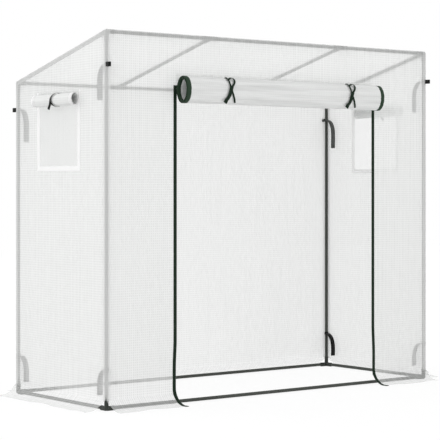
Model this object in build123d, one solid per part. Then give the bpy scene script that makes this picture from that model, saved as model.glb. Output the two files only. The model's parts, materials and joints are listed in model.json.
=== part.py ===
from build123d import *
import os
from math import atan, cos, pi, sin, sqrt, tan

# A lean-to greenhouse: push-fit steel tubes in moulded fittings, under a woven polythene cover.
# X runs along the front, the front is at -Y, the floor is at Z = 0. Lengths are in millimetres.

# Frame, measured over the corner fittings
FRAME_WIDTH = 1980.0
FRAME_DEPTH = 770.0
FRONT_HEIGHT = 1680.0
BACK_HEIGHT = 1490.0
RAFTER_SPACING = 810.0

# Tubes, with swaged spigots where two lengths meet
TUBE_DIAMETER = 16.0
TUBE_WALL = 0.8
SPIGOT_LENGTH = 40.0
SPIGOT_CLEARANCE = 0.1
SWAGE_LENGTH = 3.0
POST_JOINT_HEIGHT = 830.0

# Moulded fittings
SOCKET_WALL = 1.8
SOCKET_DEPTH = 28.0
SOCKET_CLEARANCE = 0.1
TUBE_STOP = 12.0
RIM_HEIGHT = 0.6
RIM_LENGTH = 5.0
SOLE_WIDTH = 12.0
SOLE_HEIGHT = 2.2
HUB_SWELL = 0.4

# Cover cloth and its skirt, which bends outwards and lies on the floor
CLOTH = 1.0
COVER_CLEARANCE = 0.3
SKIRT_BEND = 60.0
SKIRT_FLAT = 40.0
SKIRT_STRAIGHT = 20.0
CORNER_SLIT = 12.0
SEWING_GAP = 0.2
FLAP_CLEARANCE = 0.4
FLAP_SEAM = 10.0

# Doorway and its rolled-up flap
DOOR_WIDTH = 1216.0
DOOR_TOP = 1446.0
DOOR_TAPE_WIDTH = 16.0
DOOR_TAPE = 1.2
DOOR_FLAP_OVERLAP = 2.0
DOOR_ROLL_HANG = 20.0
DOOR_HEM_HEIGHT = 20.0
DOOR_CORE_RADIUS = 38.0
DOOR_PITCH = 5.9
DOOR_EDGE_WIDTH = 22.0
DOOR_EDGE = 2.6
DOOR_TIE_SPACING = 750.0
DOOR_TIE_WIDTH = 13.0
DOOR_TIE_SPREAD = 28.0

# Side windows and their rolled-up flaps
WINDOW_WIDTH = 320.0
WINDOW_BOTTOM = 1080.0
WINDOW_TOP = 1400.0
BORDER_WIDTH = 22.0
BORDER = 1.2
WINDOW_FLAP_LAP = 12.0
WINDOW_HEM_OVERLAP = 21.0
WINDOW_ROLL_HANG = 18.0
WINDOW_CORE_RADIUS = 16.0
WINDOW_PITCH = 5.96
WINDOW_TIE_WIDTH = 7.0
WINDOW_TIE_SPREAD = 13.0
NET_OVERLAP = 10.0
NET_THICKNESS = 0.8
NET_GAPS = 12
NET_THREAD = 3.0

# The rolled cloth, and the ribbons that hold the rolls up
ROLLED_CLOTH = 1.6
TIE = 1.0
TIE_CLEARANCE = 0.4
TIE_WRAP = 210.0

# Ribbons that tie the cover to the posts, and the webbing loops outside the corners
POST_TIE_WIDTH = 27.0
POST_TIE = 1.5
POST_TIE_CLEARANCE = 0.3
POST_TIE_BAND = 16.0
POST_TIE_BEND = 50.0
POST_TIE_RUN = 2.0
FRONT_TIE_DROP = 145.0
BACK_TIE_DROP = 128.0
UPPER_TIE_LENGTH = 155.0
LOWER_TIE_HEIGHT = 180.0
LOWER_TIE_LENGTH = 118.0
LOOP_WIDTH = 20.0
LOOP_FOLD = 14.0
LOOP_REACH = 27.0
LOOP_WEBBING = 2.0

# What follows from those sizes
TUBE_RADIUS = TUBE_DIAMETER / 2
TUBE_BORE_RADIUS = TUBE_RADIUS - TUBE_WALL
SPIGOT_RADIUS = TUBE_BORE_RADIUS - SPIGOT_CLEARANCE
SOCKET_BORE_RADIUS = TUBE_RADIUS + SOCKET_CLEARANCE
SOCKET_RADIUS = SOCKET_BORE_RADIUS + SOCKET_WALL
FITTING_RADIUS = SOCKET_RADIUS + RIM_HEIGHT
ARM_LENGTH = TUBE_STOP + SOCKET_DEPTH

POST_X = FRAME_WIDTH / 2 - FITTING_RADIUS
POST_Y = FRAME_DEPTH / 2 - FITTING_RADIUS
RAFTER_X = RAFTER_SPACING / 2
GROUND_Z = FITTING_RADIUS
FRONT_Z = FRONT_HEIGHT - FITTING_RADIUS
BACK_Z = BACK_HEIGHT - FITTING_RADIUS
SLOPE = atan((FRONT_Z - BACK_Z) / (2 * POST_Y))

INNER_OFFSET = FITTING_RADIUS + COVER_CLEARANCE
OUTER_OFFSET = INNER_OFFSET + CLOTH
COVER_X = POST_X + OUTER_OFFSET
COVER_Y = POST_Y + OUTER_OFFSET
BEND_Z = SKIRT_BEND + CLOTH
COVER_BOTTOM = BEND_Z + SKIRT_STRAIGHT
SKIRT_REACH = SKIRT_BEND + SKIRT_FLAT

DOOR_EDGE_X = DOOR_WIDTH / 2
DOOR_ROLL_X = DOOR_EDGE_X + DOOR_FLAP_OVERLAP
DOOR_ROLL_Z = DOOR_TOP - DOOR_ROLL_HANG
DOOR_LAYERS = SEWING_GAP + DOOR_TAPE + FLAP_CLEARANCE
DOOR_WOUND_LENGTH = DOOR_ROLL_Z - DOOR_HEM_HEIGHT

WINDOW_EDGE_Y = WINDOW_WIDTH / 2
WINDOW_ROLL_Y = WINDOW_EDGE_Y + WINDOW_FLAP_LAP
WINDOW_ROLL_Z = WINDOW_TOP - WINDOW_ROLL_HANG
WINDOW_LAYERS = SEWING_GAP + BORDER + FLAP_CLEARANCE
WINDOW_HEM_HEIGHT = WINDOW_BOTTOM - BORDER_WIDTH - WINDOW_HEM_OVERLAP
WINDOW_WOUND_LENGTH = WINDOW_ROLL_Z - WINDOW_HEM_HEIGHT

SIDES = {"left": -1, "right": 1}
ENDS = {"front": -1, "back": 1}
TOP_Z = {"front": FRONT_Z, "back": BACK_Z}
UPPER_TIE_Z = {"front": FRONT_Z - FRONT_TIE_DROP, "back": BACK_Z - BACK_TIE_DROP}
ON_END = (Align.CENTER, Align.CENTER, Align.MIN)
HALF_TURN = 180

# Places of the four walls: the wall's outer face is at local y = 0, and outwards is -y
WALLS = {
    "front": Pos(0, -COVER_Y, 0),
    "back": Pos(0, COVER_Y, 0) * Rot(0, 0, HALF_TURN),
    "left": Pos(-COVER_X, 0, 0) * Rot(0, 0, -HALF_TURN / 2),
    "right": Pos(COVER_X, 0, 0) * Rot(0, 0, HALF_TURN / 2),
}


class Winding:
    """A sheet wound on itself: half circles on two centres, each smaller by half the pitch."""

    def __init__(self, length, core_radius, pitch, thickest, layers, height):
        linear = core_radius - pitch / 4
        turns = (sqrt(linear**2 + pitch * length / pi) - linear) * 2 / pitch
        self.half_turns = max(2, round(turns))
        pairs = self.half_turns * (self.half_turns - 1)
        self.pitch = 4 * (length / pi - self.half_turns * core_radius) / pairs
        self.radius = core_radius + (self.half_turns - 1) * self.pitch / 2
        self.reach = self.radius + self.pitch / 4 + thickest / 2
        self.hang_y = -layers - thickest / 2
        self.axis_y = -layers - self.reach
        self.axis_z = height

    def centre(self, index):
        """Centre of one half circle, in the (y, z) section."""
        shift = self.pitch / 4 if index % 2 == 0 else -self.pitch / 4
        return (self.axis_y + shift, self.axis_z)

    def arcs(self, offset):
        """The spiral moved outwards by offset, from its outer end to its core."""
        chain = []
        for index in range(self.half_turns):
            radius = self.radius - index * self.pitch / 2 + offset
            start = 0 if index % 2 == 0 else HALF_TURN
            chain.append(CenterArc(self.centre(index), radius, start, -HALF_TURN))
        return chain

    def section(self, thickness):
        """The wound sheet cut across, as one closed outline."""
        outer = self.arcs(thickness / 2)
        inner = self.arcs(-thickness / 2)
        outer_end = Line(outer[0] @ 0, inner[0] @ 0)
        core_end = Line(outer[-1] @ 1, inner[-1] @ 1)
        return make_face(outer + [core_end] + inner + [outer_end])

    def least_gap(self, thickness, samples=24):
        """Least gap between neighbouring turns, measured on points of the spiral."""
        chain = self.arcs(0)
        gaps = []
        for inner, outer in zip(chain[2:], chain):
            for step in range(samples + 1):
                point = inner @ (step / samples)
                gaps.append(outer.distance_to(Vertex(point)) - thickness)
        return min(gaps)


DOOR = Winding(
    DOOR_WOUND_LENGTH, DOOR_CORE_RADIUS, DOOR_PITCH, DOOR_EDGE, DOOR_LAYERS, DOOR_ROLL_Z
)
WINDOW = Winding(
    WINDOW_WOUND_LENGTH, WINDOW_CORE_RADIUS, WINDOW_PITCH, ROLLED_CLOTH, WINDOW_LAYERS, WINDOW_ROLL_Z
)

# The model's origin is under the middle of its box, between the door ties and the back skirt
FRONT_REACH = COVER_Y - DOOR.axis_y + DOOR.reach + TIE_CLEARANCE + TIE
BACK_REACH = COVER_Y + SKIRT_REACH
CENTRE = Pos(0, (FRONT_REACH - BACK_REACH) / 2, 0)


def save(name, *solids):
    """Write one node, a single piece or a group of like pieces."""
    pieces = [CENTRE * solid for solid in solids]
    node = pieces[0] if len(pieces) == 1 else Compound(children=pieces)
    export_step(node, os.path.join("parts", name + ".step"))


def along_x(section, start, end):
    """Extrude a (y, z) section from one X to another."""
    return extrude(Plane.YZ.offset(start) * section, amount=end - start)


def outline(*points):
    """A closed flat outline through points."""
    return make_face(Polyline(*points, close=True))


def roof_z(y, offset):
    """Height of the roof plane that lies offset above the rafters' axes."""
    return FRONT_Z + offset / cos(SLOPE) - (y + POST_Y) * tan(SLOPE)


# Frame


def tube(start, end, spigot=False):
    """A straight tube; with a spigot, its far end is swaged down to fit into the next one."""
    run = Vector(*end) - Vector(*start)
    length = run.length
    if spigot:
        far = length + SWAGE_LENGTH + SPIGOT_LENGTH
        profile = [
            (TUBE_BORE_RADIUS, 0, 0),
            (TUBE_RADIUS, 0, 0),
            (TUBE_RADIUS, 0, length),
            (SPIGOT_RADIUS, 0, length + SWAGE_LENGTH),
            (SPIGOT_RADIUS, 0, far),
            (SPIGOT_RADIUS - TUBE_WALL, 0, far),
            (SPIGOT_RADIUS - TUBE_WALL, 0, length + SWAGE_LENGTH),
            (TUBE_BORE_RADIUS, 0, length),
        ]
    else:
        profile = [
            (TUBE_BORE_RADIUS, 0, 0),
            (TUBE_RADIUS, 0, 0),
            (TUBE_RADIUS, 0, length),
            (TUBE_BORE_RADIUS, 0, length),
        ]
    return Plane(origin=start, z_dir=run) * revolve(outline(*profile), Axis.Z)


def socket_arm():
    """One arm of a fitting along +Z: a sleeve with a raised rim round its mouth."""
    rim_start = ARM_LENGTH - RIM_LENGTH
    profile = [
        (0, 0, 0),
        (SOCKET_RADIUS, 0, 0),
        (SOCKET_RADIUS, 0, rim_start - RIM_HEIGHT),
        (FITTING_RADIUS, 0, rim_start),
        (FITTING_RADIUS, 0, ARM_LENGTH),
        (0, 0, ARM_LENGTH),
    ]
    return revolve(outline(*profile), Axis.Z)


def fitting(directions):
    """A moulded hub at the origin, with a rimmed socket along each direction."""
    arms = [Plane(origin=(0, 0, 0), z_dir=direction) for direction in directions]
    bore = Pos(0, 0, TUBE_STOP) * Cylinder(SOCKET_BORE_RADIUS, SOCKET_DEPTH, align=ON_END)
    body = Sphere(SOCKET_RADIUS + HUB_SWELL) + [arm * socket_arm() for arm in arms]
    return body - [arm * bore for arm in arms]


def soled_fitting(directions):
    """A fitting whose level arms have a flat sole underneath, to stand on the floor."""
    soles = []
    for x, y, z in directions:
        if z == 0:
            size_x = ARM_LENGTH if x else SOLE_WIDTH
            size_y = ARM_LENGTH if y else SOLE_WIDTH
            sole = Box(size_x, size_y, SOLE_HEIGHT, align=ON_END)
            soles.append(Pos(x * ARM_LENGTH / 2, y * ARM_LENGTH / 2, -FITTING_RADIUS) * sole)
    return fitting(directions) + soles


def make_posts():
    """Four posts, each a lower length whose spigot carries the upper length."""
    for side, sx in SIDES.items():
        for end, sy in ENDS.items():
            x = sx * POST_X
            y = sy * POST_Y
            joint = (x, y, POST_JOINT_HEIGHT)
            shoulder = (x, y, POST_JOINT_HEIGHT + SWAGE_LENGTH)
            foot = (x, y, GROUND_Z + TUBE_STOP)
            head = (x, y, TOP_Z[end] - TUBE_STOP)
            save(f"{end}_{side}_post_lower", tube(foot, joint, spigot=True))
            save(f"{end}_{side}_post_upper", tube(shoulder, head))


def make_rails():
    """Ground rails, and top rails in three lengths between the rafter tees."""
    for side, sx in SIDES.items():
        x = sx * POST_X
        y = POST_Y - TUBE_STOP
        save(f"{side}_ground_rail", tube((x, -y, GROUND_Z), (x, y, GROUND_Z)))
    corner_x = POST_X - TUBE_STOP
    tee_x = RAFTER_X + TUBE_STOP
    middle_x = RAFTER_X - TUBE_STOP
    for end, sy in ENDS.items():
        y = sy * POST_Y
        z = TOP_Z[end]
        left = tube((-corner_x, y, GROUND_Z), (0, y, GROUND_Z), spigot=True)
        right = tube((SWAGE_LENGTH, y, GROUND_Z), (corner_x, y, GROUND_Z))
        save(f"{end}_ground_rail_left", left)
        save(f"{end}_ground_rail_right", right)
        save(f"{end}_top_rail_left", tube((-corner_x, y, z), (-tee_x, y, z)))
        save(f"{end}_top_rail_middle", tube((-middle_x, y, z), (middle_x, y, z)))
        save(f"{end}_top_rail_right", tube((tee_x, y, z), (corner_x, y, z)))


def make_rafters():
    """Four sloping rafters, two in the end walls and two between the tees."""
    down = Vector(0, cos(SLOPE), -sin(SLOPE)) * TUBE_STOP
    rafters = {
        "left_end": -POST_X,
        "left_inner": -RAFTER_X,
        "right_inner": RAFTER_X,
        "right_end": POST_X,
    }
    for name, x in rafters.items():
        start = Vector(x, -POST_Y, FRONT_Z) + down
        finish = Vector(x, POST_Y, BACK_Z) - down
        save(f"{name}_rafter", tube(tuple(start), tuple(finish)))


def make_fittings():
    """Three-way corner fittings at floor and roof, and the tees that carry the inner rafters."""
    tees = []
    for end, sy in ENDS.items():
        y = sy * POST_Y
        z = TOP_Z[end]
        rafter = (0, -sy * cos(SLOPE), sy * sin(SLOPE))
        for side, sx in SIDES.items():
            x = sx * POST_X
            ground = soled_fitting([(-sx, 0, 0), (0, -sy, 0), (0, 0, 1)])
            roof = fitting([(-sx, 0, 0), rafter, (0, 0, -1)])
            tee = fitting([(-1, 0, 0), (1, 0, 0), rafter])
            save(f"{end}_{side}_ground_corner", Pos(x, y, GROUND_Z) * ground)
            save(f"{end}_{side}_roof_corner", Pos(x, y, z) * roof)
            tees.append(Pos(sx * RAFTER_X, y, z) * tee)
    save("rafter_tees", *tees)


# Cover


def make_cover():
    """Front, back, side and roof panels, mitred where they are sewn together."""
    inner_y = POST_Y + INNER_OFFSET
    front_in = (-inner_y, roof_z(-inner_y, INNER_OFFSET))
    front_out = (-COVER_Y, roof_z(-COVER_Y, OUTER_OFFSET))
    back_in = (inner_y, roof_z(inner_y, INNER_OFFSET))
    back_out = (COVER_Y, roof_z(COVER_Y, OUTER_OFFSET))
    front = outline((-inner_y, COVER_BOTTOM), (-COVER_Y, COVER_BOTTOM), front_out, front_in)
    back = outline((inner_y, COVER_BOTTOM), (COVER_Y, COVER_BOTTOM), back_out, back_in)
    roof = outline(front_in, front_out, back_out, back_in)
    doorway_depth = 4 * CLOTH
    doorway_height = DOOR_TOP - COVER_BOTTOM
    doorway = Pos(0, -COVER_Y, COVER_BOTTOM) * Box(
        DOOR_WIDTH, doorway_depth, doorway_height, align=ON_END
    )
    save("front_cover", along_x(front, -COVER_X, COVER_X) - doorway)
    save("back_cover", along_x(back, -COVER_X, COVER_X))
    save("roof_cover", along_x(roof, -COVER_X, COVER_X))
    window = Pos(0, WINDOW_BOTTOM) * Rectangle(
        WINDOW_WIDTH, WINDOW_TOP - WINDOW_BOTTOM, align=(Align.CENTER, Align.MIN)
    )
    side = outline((-inner_y, COVER_BOTTOM), (inner_y, COVER_BOTTOM), back_in, front_in) - window
    save("left_cover", along_x(side, -COVER_X, CLOTH - COVER_X))
    save("right_cover", along_x(side, COVER_X - CLOTH, COVER_X))


def skirt_section(near, far, top):
    """A layer down a wall and out along the floor, between two distances from the outer face."""
    bend = (-SKIRT_BEND, BEND_Z)
    near_arc = CenterArc(bend, SKIRT_BEND - near, 0, -HALF_TURN / 2)
    far_arc = CenterArc(bend, SKIRT_BEND - far, 0, -HALF_TURN / 2)
    floor_near = (-SKIRT_REACH, (near_arc @ 1).Y)
    floor_far = (-SKIRT_REACH, (far_arc @ 1).Y)
    return make_face(
        [
            Line((-near, top), near_arc @ 0),
            near_arc,
            Line(near_arc @ 1, floor_near),
            Line(floor_near, floor_far),
            Line(floor_far, far_arc @ 1),
            far_arc,
            Line(far_arc @ 0, (-far, top)),
            Line((-far, top), (-near, top)),
        ]
    )


def make_skirts():
    """Skirts that weights or soil hold down, slit at the corners and cut away at the doorway."""
    cloth = skirt_section(-CLOTH, 0, COVER_BOTTOM)
    long_x = COVER_X - CORNER_SLIT
    short_x = COVER_Y - CORNER_SLIT
    save("front_left_skirt", WALLS["front"] * along_x(cloth, -long_x, -DOOR_EDGE_X))
    save("front_right_skirt", WALLS["front"] * along_x(cloth, DOOR_EDGE_X, long_x))
    save("back_skirt", WALLS["back"] * along_x(cloth, -long_x, long_x))
    for side in SIDES:
        save(f"{side}_skirt", WALLS[side] * along_x(cloth, -short_x, short_x))


# Door


def flap_section(winding):
    """The stretch of a flap between the seam that holds it and the roll."""
    bottom = winding.axis_z + FLAP_CLEARANCE
    seam = winding.axis_z + winding.reach + TIE_CLEARANCE + TIE + FLAP_SEAM
    near = winding.hang_y + ROLLED_CLOTH / 2
    far = winding.hang_y - ROLLED_CLOTH / 2
    return outline((near, bottom), (far, bottom), (far, seam), (near, seam))


def roll_tie(winding, x, width, spread):
    """A ribbon sewn to the flap's head, over the roll and under it; its strands cross in front."""
    inner = winding.reach + TIE_CLEARANCE
    outer = inner + TIE
    centre = (winding.axis_y, winding.axis_z)
    inner_arc = CenterArc(centre, inner, HALF_TURN / 2, TIE_WRAP)
    outer_arc = CenterArc(centre, outer, HALF_TURN / 2, TIE_WRAP)
    sewn_y = winding.hang_y - ROLLED_CLOTH / 2 - SEWING_GAP
    sewn_low = (sewn_y, winding.axis_z + inner)
    sewn_high = (sewn_y, winding.axis_z + outer)
    hook = make_face(
        [
            Line(sewn_low, inner_arc @ 0),
            inner_arc,
            Line(inner_arc @ 1, outer_arc @ 1),
            outer_arc,
            Line(outer_arc @ 0, sewn_high),
            Line(sewn_high, sewn_low),
        ]
    )
    half = spread + width
    sheet = along_x(hook, x - half, x + half)
    tall = 2 * outer
    strands = []
    for sign in SIDES.values():
        shift = sign * spread
        strand = outline(
            (-shift - width / 2, -outer),
            (-shift + width / 2, -outer),
            (shift + width / 2, outer),
            (shift - width / 2, outer),
        )
        slab = extrude(Plane.XZ.offset(-tall) * strand, amount=2 * tall)
        strands.append(Pos(x, winding.axis_y, winding.axis_z) * slab)
    return sheet & (strands[0] + strands[1])


def make_door():
    """The doorway's tapes, and the flap wound up above the doorway between two ties."""
    wall = WALLS["front"]
    tape = skirt_section(SEWING_GAP, SEWING_GAP + DOOR_TAPE, DOOR_TOP)
    tape_x = DOOR_EDGE_X + DOOR_TAPE_WIDTH
    left_tape = along_x(tape, -tape_x, -DOOR_EDGE_X)
    right_tape = along_x(tape, DOOR_EDGE_X, tape_x)
    save("door_tapes", wall * left_tape, wall * right_tape)

    flap = flap_section(DOOR)
    save("door_flap", wall * along_x(flap, -DOOR_ROLL_X, DOOR_ROLL_X))
    cloth_x = DOOR_ROLL_X - DOOR_EDGE_WIDTH
    save("door_roll", wall * along_x(DOOR.section(ROLLED_CLOTH), -cloth_x, cloth_x))
    edge = DOOR.section(DOOR_EDGE)
    left_edge = along_x(edge, -DOOR_ROLL_X, -cloth_x)
    right_edge = along_x(edge, cloth_x, DOOR_ROLL_X)
    save("door_roll_edges", wall * left_edge, wall * right_edge)

    ties = []
    for sign in SIDES.values():
        x = sign * DOOR_TIE_SPACING / 2
        ties.append(wall * roll_tie(DOOR, x, DOOR_TIE_WIDTH, DOOR_TIE_SPREAD))
    save("door_ties", *ties)


# Windows


def net_sheet():
    """A flat net that overlaps the window's edges, with square gaps between its threads."""
    height = WINDOW_TOP - WINDOW_BOTTOM
    sheet = Rectangle(WINDOW_WIDTH + 2 * NET_OVERLAP, height + 2 * NET_OVERLAP)
    step_x = WINDOW_WIDTH / NET_GAPS
    step_z = height / NET_GAPS
    gap = Rectangle(step_x - NET_THREAD, step_z - NET_THREAD)
    sheet -= GridLocations(step_x, step_z, NET_GAPS, NET_GAPS) * gap
    upright = Plane.XZ.offset(-CLOTH - SEWING_GAP) * sheet
    return Pos(0, 0, WINDOW_BOTTOM + height / 2) * extrude(upright, amount=-NET_THICKNESS)


def border_ring():
    """The flat strip round a window that the flap closes on."""
    height = WINDOW_TOP - WINDOW_BOTTOM
    ring = Rectangle(WINDOW_WIDTH + 2 * BORDER_WIDTH, height + 2 * BORDER_WIDTH)
    ring -= Rectangle(WINDOW_WIDTH, height)
    upright = Plane.XZ.offset(SEWING_GAP) * ring
    return Pos(0, 0, WINDOW_BOTTOM + height / 2) * extrude(upright, amount=BORDER)


def make_windows():
    """A netted window in each side wall, with its border strip, rolled flap and tie."""
    net = net_sheet()
    border = border_ring()
    flap = along_x(flap_section(WINDOW), -WINDOW_ROLL_Y, WINDOW_ROLL_Y)
    roll = along_x(WINDOW.section(ROLLED_CLOTH), -WINDOW_ROLL_Y, WINDOW_ROLL_Y)
    tie = roll_tie(WINDOW, 0, WINDOW_TIE_WIDTH, WINDOW_TIE_SPREAD)
    for side in SIDES:
        wall = WALLS[side]
        save(f"{side}_window_net", wall * net)
        save(f"{side}_window_border", wall * border)
        save(f"{side}_window_flap", wall * flap)
        save(f"{side}_window_roll", wall * roll)
        save(f"{side}_window_tie", wall * tie)


# Ties and loops


def post_tie(x, y, height, length):
    """A ribbon knotted round a post, whose tail arches over beside the side wall and hangs down."""
    inner = TUBE_RADIUS + POST_TIE_CLEARANCE
    band = Cylinder(inner + POST_TIE, POST_TIE_BAND) - Cylinder(inner, POST_TIE_BAND)
    start = inner + POST_TIE / 2
    bend = (start + POST_TIE_RUN, -POST_TIE_BEND)
    top_arc = CenterArc(bend, POST_TIE_BEND, HALF_TURN / 2, -HALF_TURN / 2)
    low_arc = CenterArc(bend, POST_TIE_BEND - POST_TIE, HALF_TURN / 2, -HALF_TURN / 2)
    far = (top_arc @ 1).X
    tail = make_face(
        [
            Line((start, 0), top_arc @ 0),
            top_arc,
            Line(top_arc @ 1, (far, -length)),
            Line((far, -length), (far - POST_TIE, -length)),
            Line((far - POST_TIE, -length), low_arc @ 1),
            low_arc,
            Line(low_arc @ 0, (start, -POST_TIE)),
            Line((start, -POST_TIE), (start, 0)),
        ]
    )
    hanging = along_x(tail, TUBE_RADIUS - POST_TIE_WIDTH, TUBE_RADIUS)
    tie = band + hanging
    mirrored = tie if x > 0 else mirror(tie, Plane.YZ)
    facing = mirrored if y < 0 else mirror(mirrored, Plane.XZ)
    return Pos(x, y, height) * facing


def corner_loop(sx, sy, height):
    """A webbing loop folded round an upright hole; it stands out from a corner seam, past the side wall."""
    half = LOOP_FOLD / 2
    inner = half - LOOP_WEBBING
    tip = (0, LOOP_REACH - half)
    outer_arc = CenterArc(tip, half, 0, HALF_TURN)
    inner_arc = CenterArc(tip, inner, 0, HALF_TURN)
    fold = make_face(
        [
            Line((half, SEWING_GAP), outer_arc @ 0),
            outer_arc,
            Line(outer_arc @ 1, (-half, SEWING_GAP)),
            Line((-half, SEWING_GAP), (-inner, SEWING_GAP)),
            Line((-inner, SEWING_GAP), inner_arc @ 1),
            inner_arc,
            Line(inner_arc @ 0, (inner, SEWING_GAP)),
            Line((inner, SEWING_GAP), (half, SEWING_GAP)),
        ]
    )
    loop = extrude(fold, amount=LOOP_WIDTH / 2, both=True)
    facing = loop if sy > 0 else mirror(loop, Plane.XZ)
    return Pos(sx * (COVER_X - half), sy * COVER_Y, height) * facing


def make_ties():
    """Ribbon ties at the head and foot of each post, and a webbing loop outside each head."""
    ties = []
    loops = []
    for end, sy in ENDS.items():
        head = UPPER_TIE_Z[end]
        for sx in SIDES.values():
            x = sx * POST_X
            y = sy * POST_Y
            ties.append(post_tie(x, y, head, UPPER_TIE_LENGTH))
            ties.append(post_tie(x, y, LOWER_TIE_HEIGHT, LOWER_TIE_LENGTH))
            loops.append(corner_loop(sx, sy, head))
    save("post_ties", *ties)
    save("corner_loops", *loops)


os.makedirs("parts", exist_ok=True)
make_posts()
make_rails()
make_rafters()
make_fittings()
make_cover()
make_skirts()
make_door()
make_windows()
make_ties()

for label, winding, hem, thickest in (
    ("door", DOOR, DOOR_HEM_HEIGHT, DOOR_EDGE),
    ("window", WINDOW, WINDOW_HEM_HEIGHT, ROLLED_CLOTH),
):
    drop = winding.axis_z - hem - winding.reach
    print(label, "half turns", winding.half_turns, "pitch", round(winding.pitch, 3))
    print(label, "outer radius", round(winding.radius, 2), "reach", round(winding.reach, 2))
    print(label, "axis", round(winding.axis_y, 2), round(winding.axis_z, 2), "drop", round(drop, 1))
    print(label, "least gap between turns", round(winding.least_gap(thickest), 2))
print("frame moved back by", round(CENTRE.position.Y, 3))
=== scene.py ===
"""Looks of a lean-to greenhouse: a woven polythene cover on a frame of steel tubes."""

import json
import math

import bmesh
import bpy
import numpy as np
from mathutils import Matrix, Vector


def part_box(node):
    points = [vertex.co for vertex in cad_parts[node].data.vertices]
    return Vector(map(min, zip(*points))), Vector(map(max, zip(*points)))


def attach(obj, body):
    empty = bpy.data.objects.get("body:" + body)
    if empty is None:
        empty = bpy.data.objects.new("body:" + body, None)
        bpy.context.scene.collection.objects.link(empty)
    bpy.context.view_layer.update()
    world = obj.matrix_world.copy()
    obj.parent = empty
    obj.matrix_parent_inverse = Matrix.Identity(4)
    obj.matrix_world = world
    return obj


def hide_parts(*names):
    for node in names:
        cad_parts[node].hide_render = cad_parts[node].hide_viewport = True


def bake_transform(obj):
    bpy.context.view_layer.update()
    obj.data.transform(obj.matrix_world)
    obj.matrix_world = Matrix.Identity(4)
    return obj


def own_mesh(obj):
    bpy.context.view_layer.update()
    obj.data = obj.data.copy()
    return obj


bl_info = {
    "name": "Lean-to Greenhouse",
    "version": (1, 0, 0),
    "blender": (4, 5, 0),
    "location": "3D View > Sidebar > Greenhouse",
    "description": "Dresses a greenhouse frame in its cover, door, windows and ties",
    "category": "Object",
}

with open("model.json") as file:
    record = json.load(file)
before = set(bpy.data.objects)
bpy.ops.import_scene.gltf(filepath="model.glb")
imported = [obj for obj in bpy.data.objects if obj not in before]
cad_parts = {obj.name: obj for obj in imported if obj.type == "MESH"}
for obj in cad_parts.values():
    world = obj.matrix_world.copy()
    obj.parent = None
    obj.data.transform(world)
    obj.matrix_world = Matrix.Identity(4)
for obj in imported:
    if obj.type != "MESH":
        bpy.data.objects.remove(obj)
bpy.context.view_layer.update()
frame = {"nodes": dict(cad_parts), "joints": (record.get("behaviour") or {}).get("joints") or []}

MM = 0.001
QUARTER = math.pi / 2
TURN = 2 * math.pi


def middle(node):
    """Middle of a node's box."""
    low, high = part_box(node)
    return (low + high) / 2


def joint(name):
    """A joint of the frame."""
    return next(j for j in frame["joints"] if j["name"] == name)


# Axes of the tubes that the cover lies on
POST_X = middle("front_right_post_lower").x
FRONT_Y = middle("front_right_post_lower").y
BACK_Y = middle("back_right_post_lower").y
MIDDLE_Y = (FRONT_Y + BACK_Y) / 2
FRONT_TOP = middle("front_top_rail_middle").z
BACK_TOP = middle("back_top_rail_middle").z
RAFTER_X = middle("right_inner_rafter").x
SLOPE = math.atan2(FRONT_TOP - BACK_TOP, BACK_Y - FRONT_Y)

# The cover's middle surface, and the skirt that bends out from it and lies on the floor
HALF_CLOTH = 0.5 * MM
COVER_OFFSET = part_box("right_cover")[1].x - POST_X - HALF_CLOTH
SKIRT_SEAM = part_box("back_cover")[0].z
SKIRT_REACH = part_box("right_skirt")[1].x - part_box("right_cover")[1].x
SKIRT_FLAT = 16 * MM
BEND_OUT = SKIRT_REACH - SKIRT_FLAT + HALF_CLOTH
BEND_UP = 76 * MM
BEND_Z = BEND_UP + HALF_CLOTH
BEND_ANGLES = np.linspace(0, QUARTER, 91)
BEND_STEPS = np.hypot(BEND_OUT * np.diff(np.cos(BEND_ANGLES)), BEND_UP * np.diff(np.sin(BEND_ANGLES)))
BEND_RUN = np.concatenate([[0], np.cumsum(BEND_STEPS)])
FLOOR_V = BEND_Z - BEND_RUN[-1]
HEM_V = FLOOR_V - SKIRT_FLAT

# Slits at the skirt's corners: a narrow neck, then the full width
SLIT = POST_X + COVER_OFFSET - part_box("back_skirt")[1].x
SLIT_HEAD = 48 * MM
SLIT_RISE = 12 * MM
SLIT_ARMS = 26 * MM
SLIT_NECK = 0.3
END_BAND = 60 * MM

# Doorway and door
DOOR_AXIS = Vector(joint("door_unroll")["pos_m"])
DOOR_EDGE_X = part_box("front_right_skirt")[0].x
DOOR_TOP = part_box("door_tapes")[1].z
DOOR_TAPE_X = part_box("door_tapes")[1].x
DOOR_ROLL_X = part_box("door_roll_edges")[1].x
DOOR_CLOTH_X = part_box("door_roll")[1].x
DOOR_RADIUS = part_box("door_roll")[1].y - DOOR_AXIS.y
DOOR_WOUND = joint("door_drop")["range_m"][1] + DOOR_RADIUS
DOOR_PITCH = 3.0 * MM
DOOR_SETBACK = 18 * MM
DOOR_GAP = 2.5 * MM
DOOR_SEAM = 8 * MM
DOOR_SEED = 5
HEM_LIFT = 0.7 * MM
HEM_THICK = 0.8 * MM

# Tapes down the doorway, whose feet stand outwards to let the door pass
TAPE_WIDTH = 18 * MM
TAPE_THICK = 2.6 * MM
TAPE_X = (DOOR_EDGE_X + DOOR_TAPE_X) / 2 - 3 * MM
FOOT_SHIFT = 5 * MM
FOOT_TOP = 300 * MM
FOOT_EASE = 140 * MM

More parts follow.
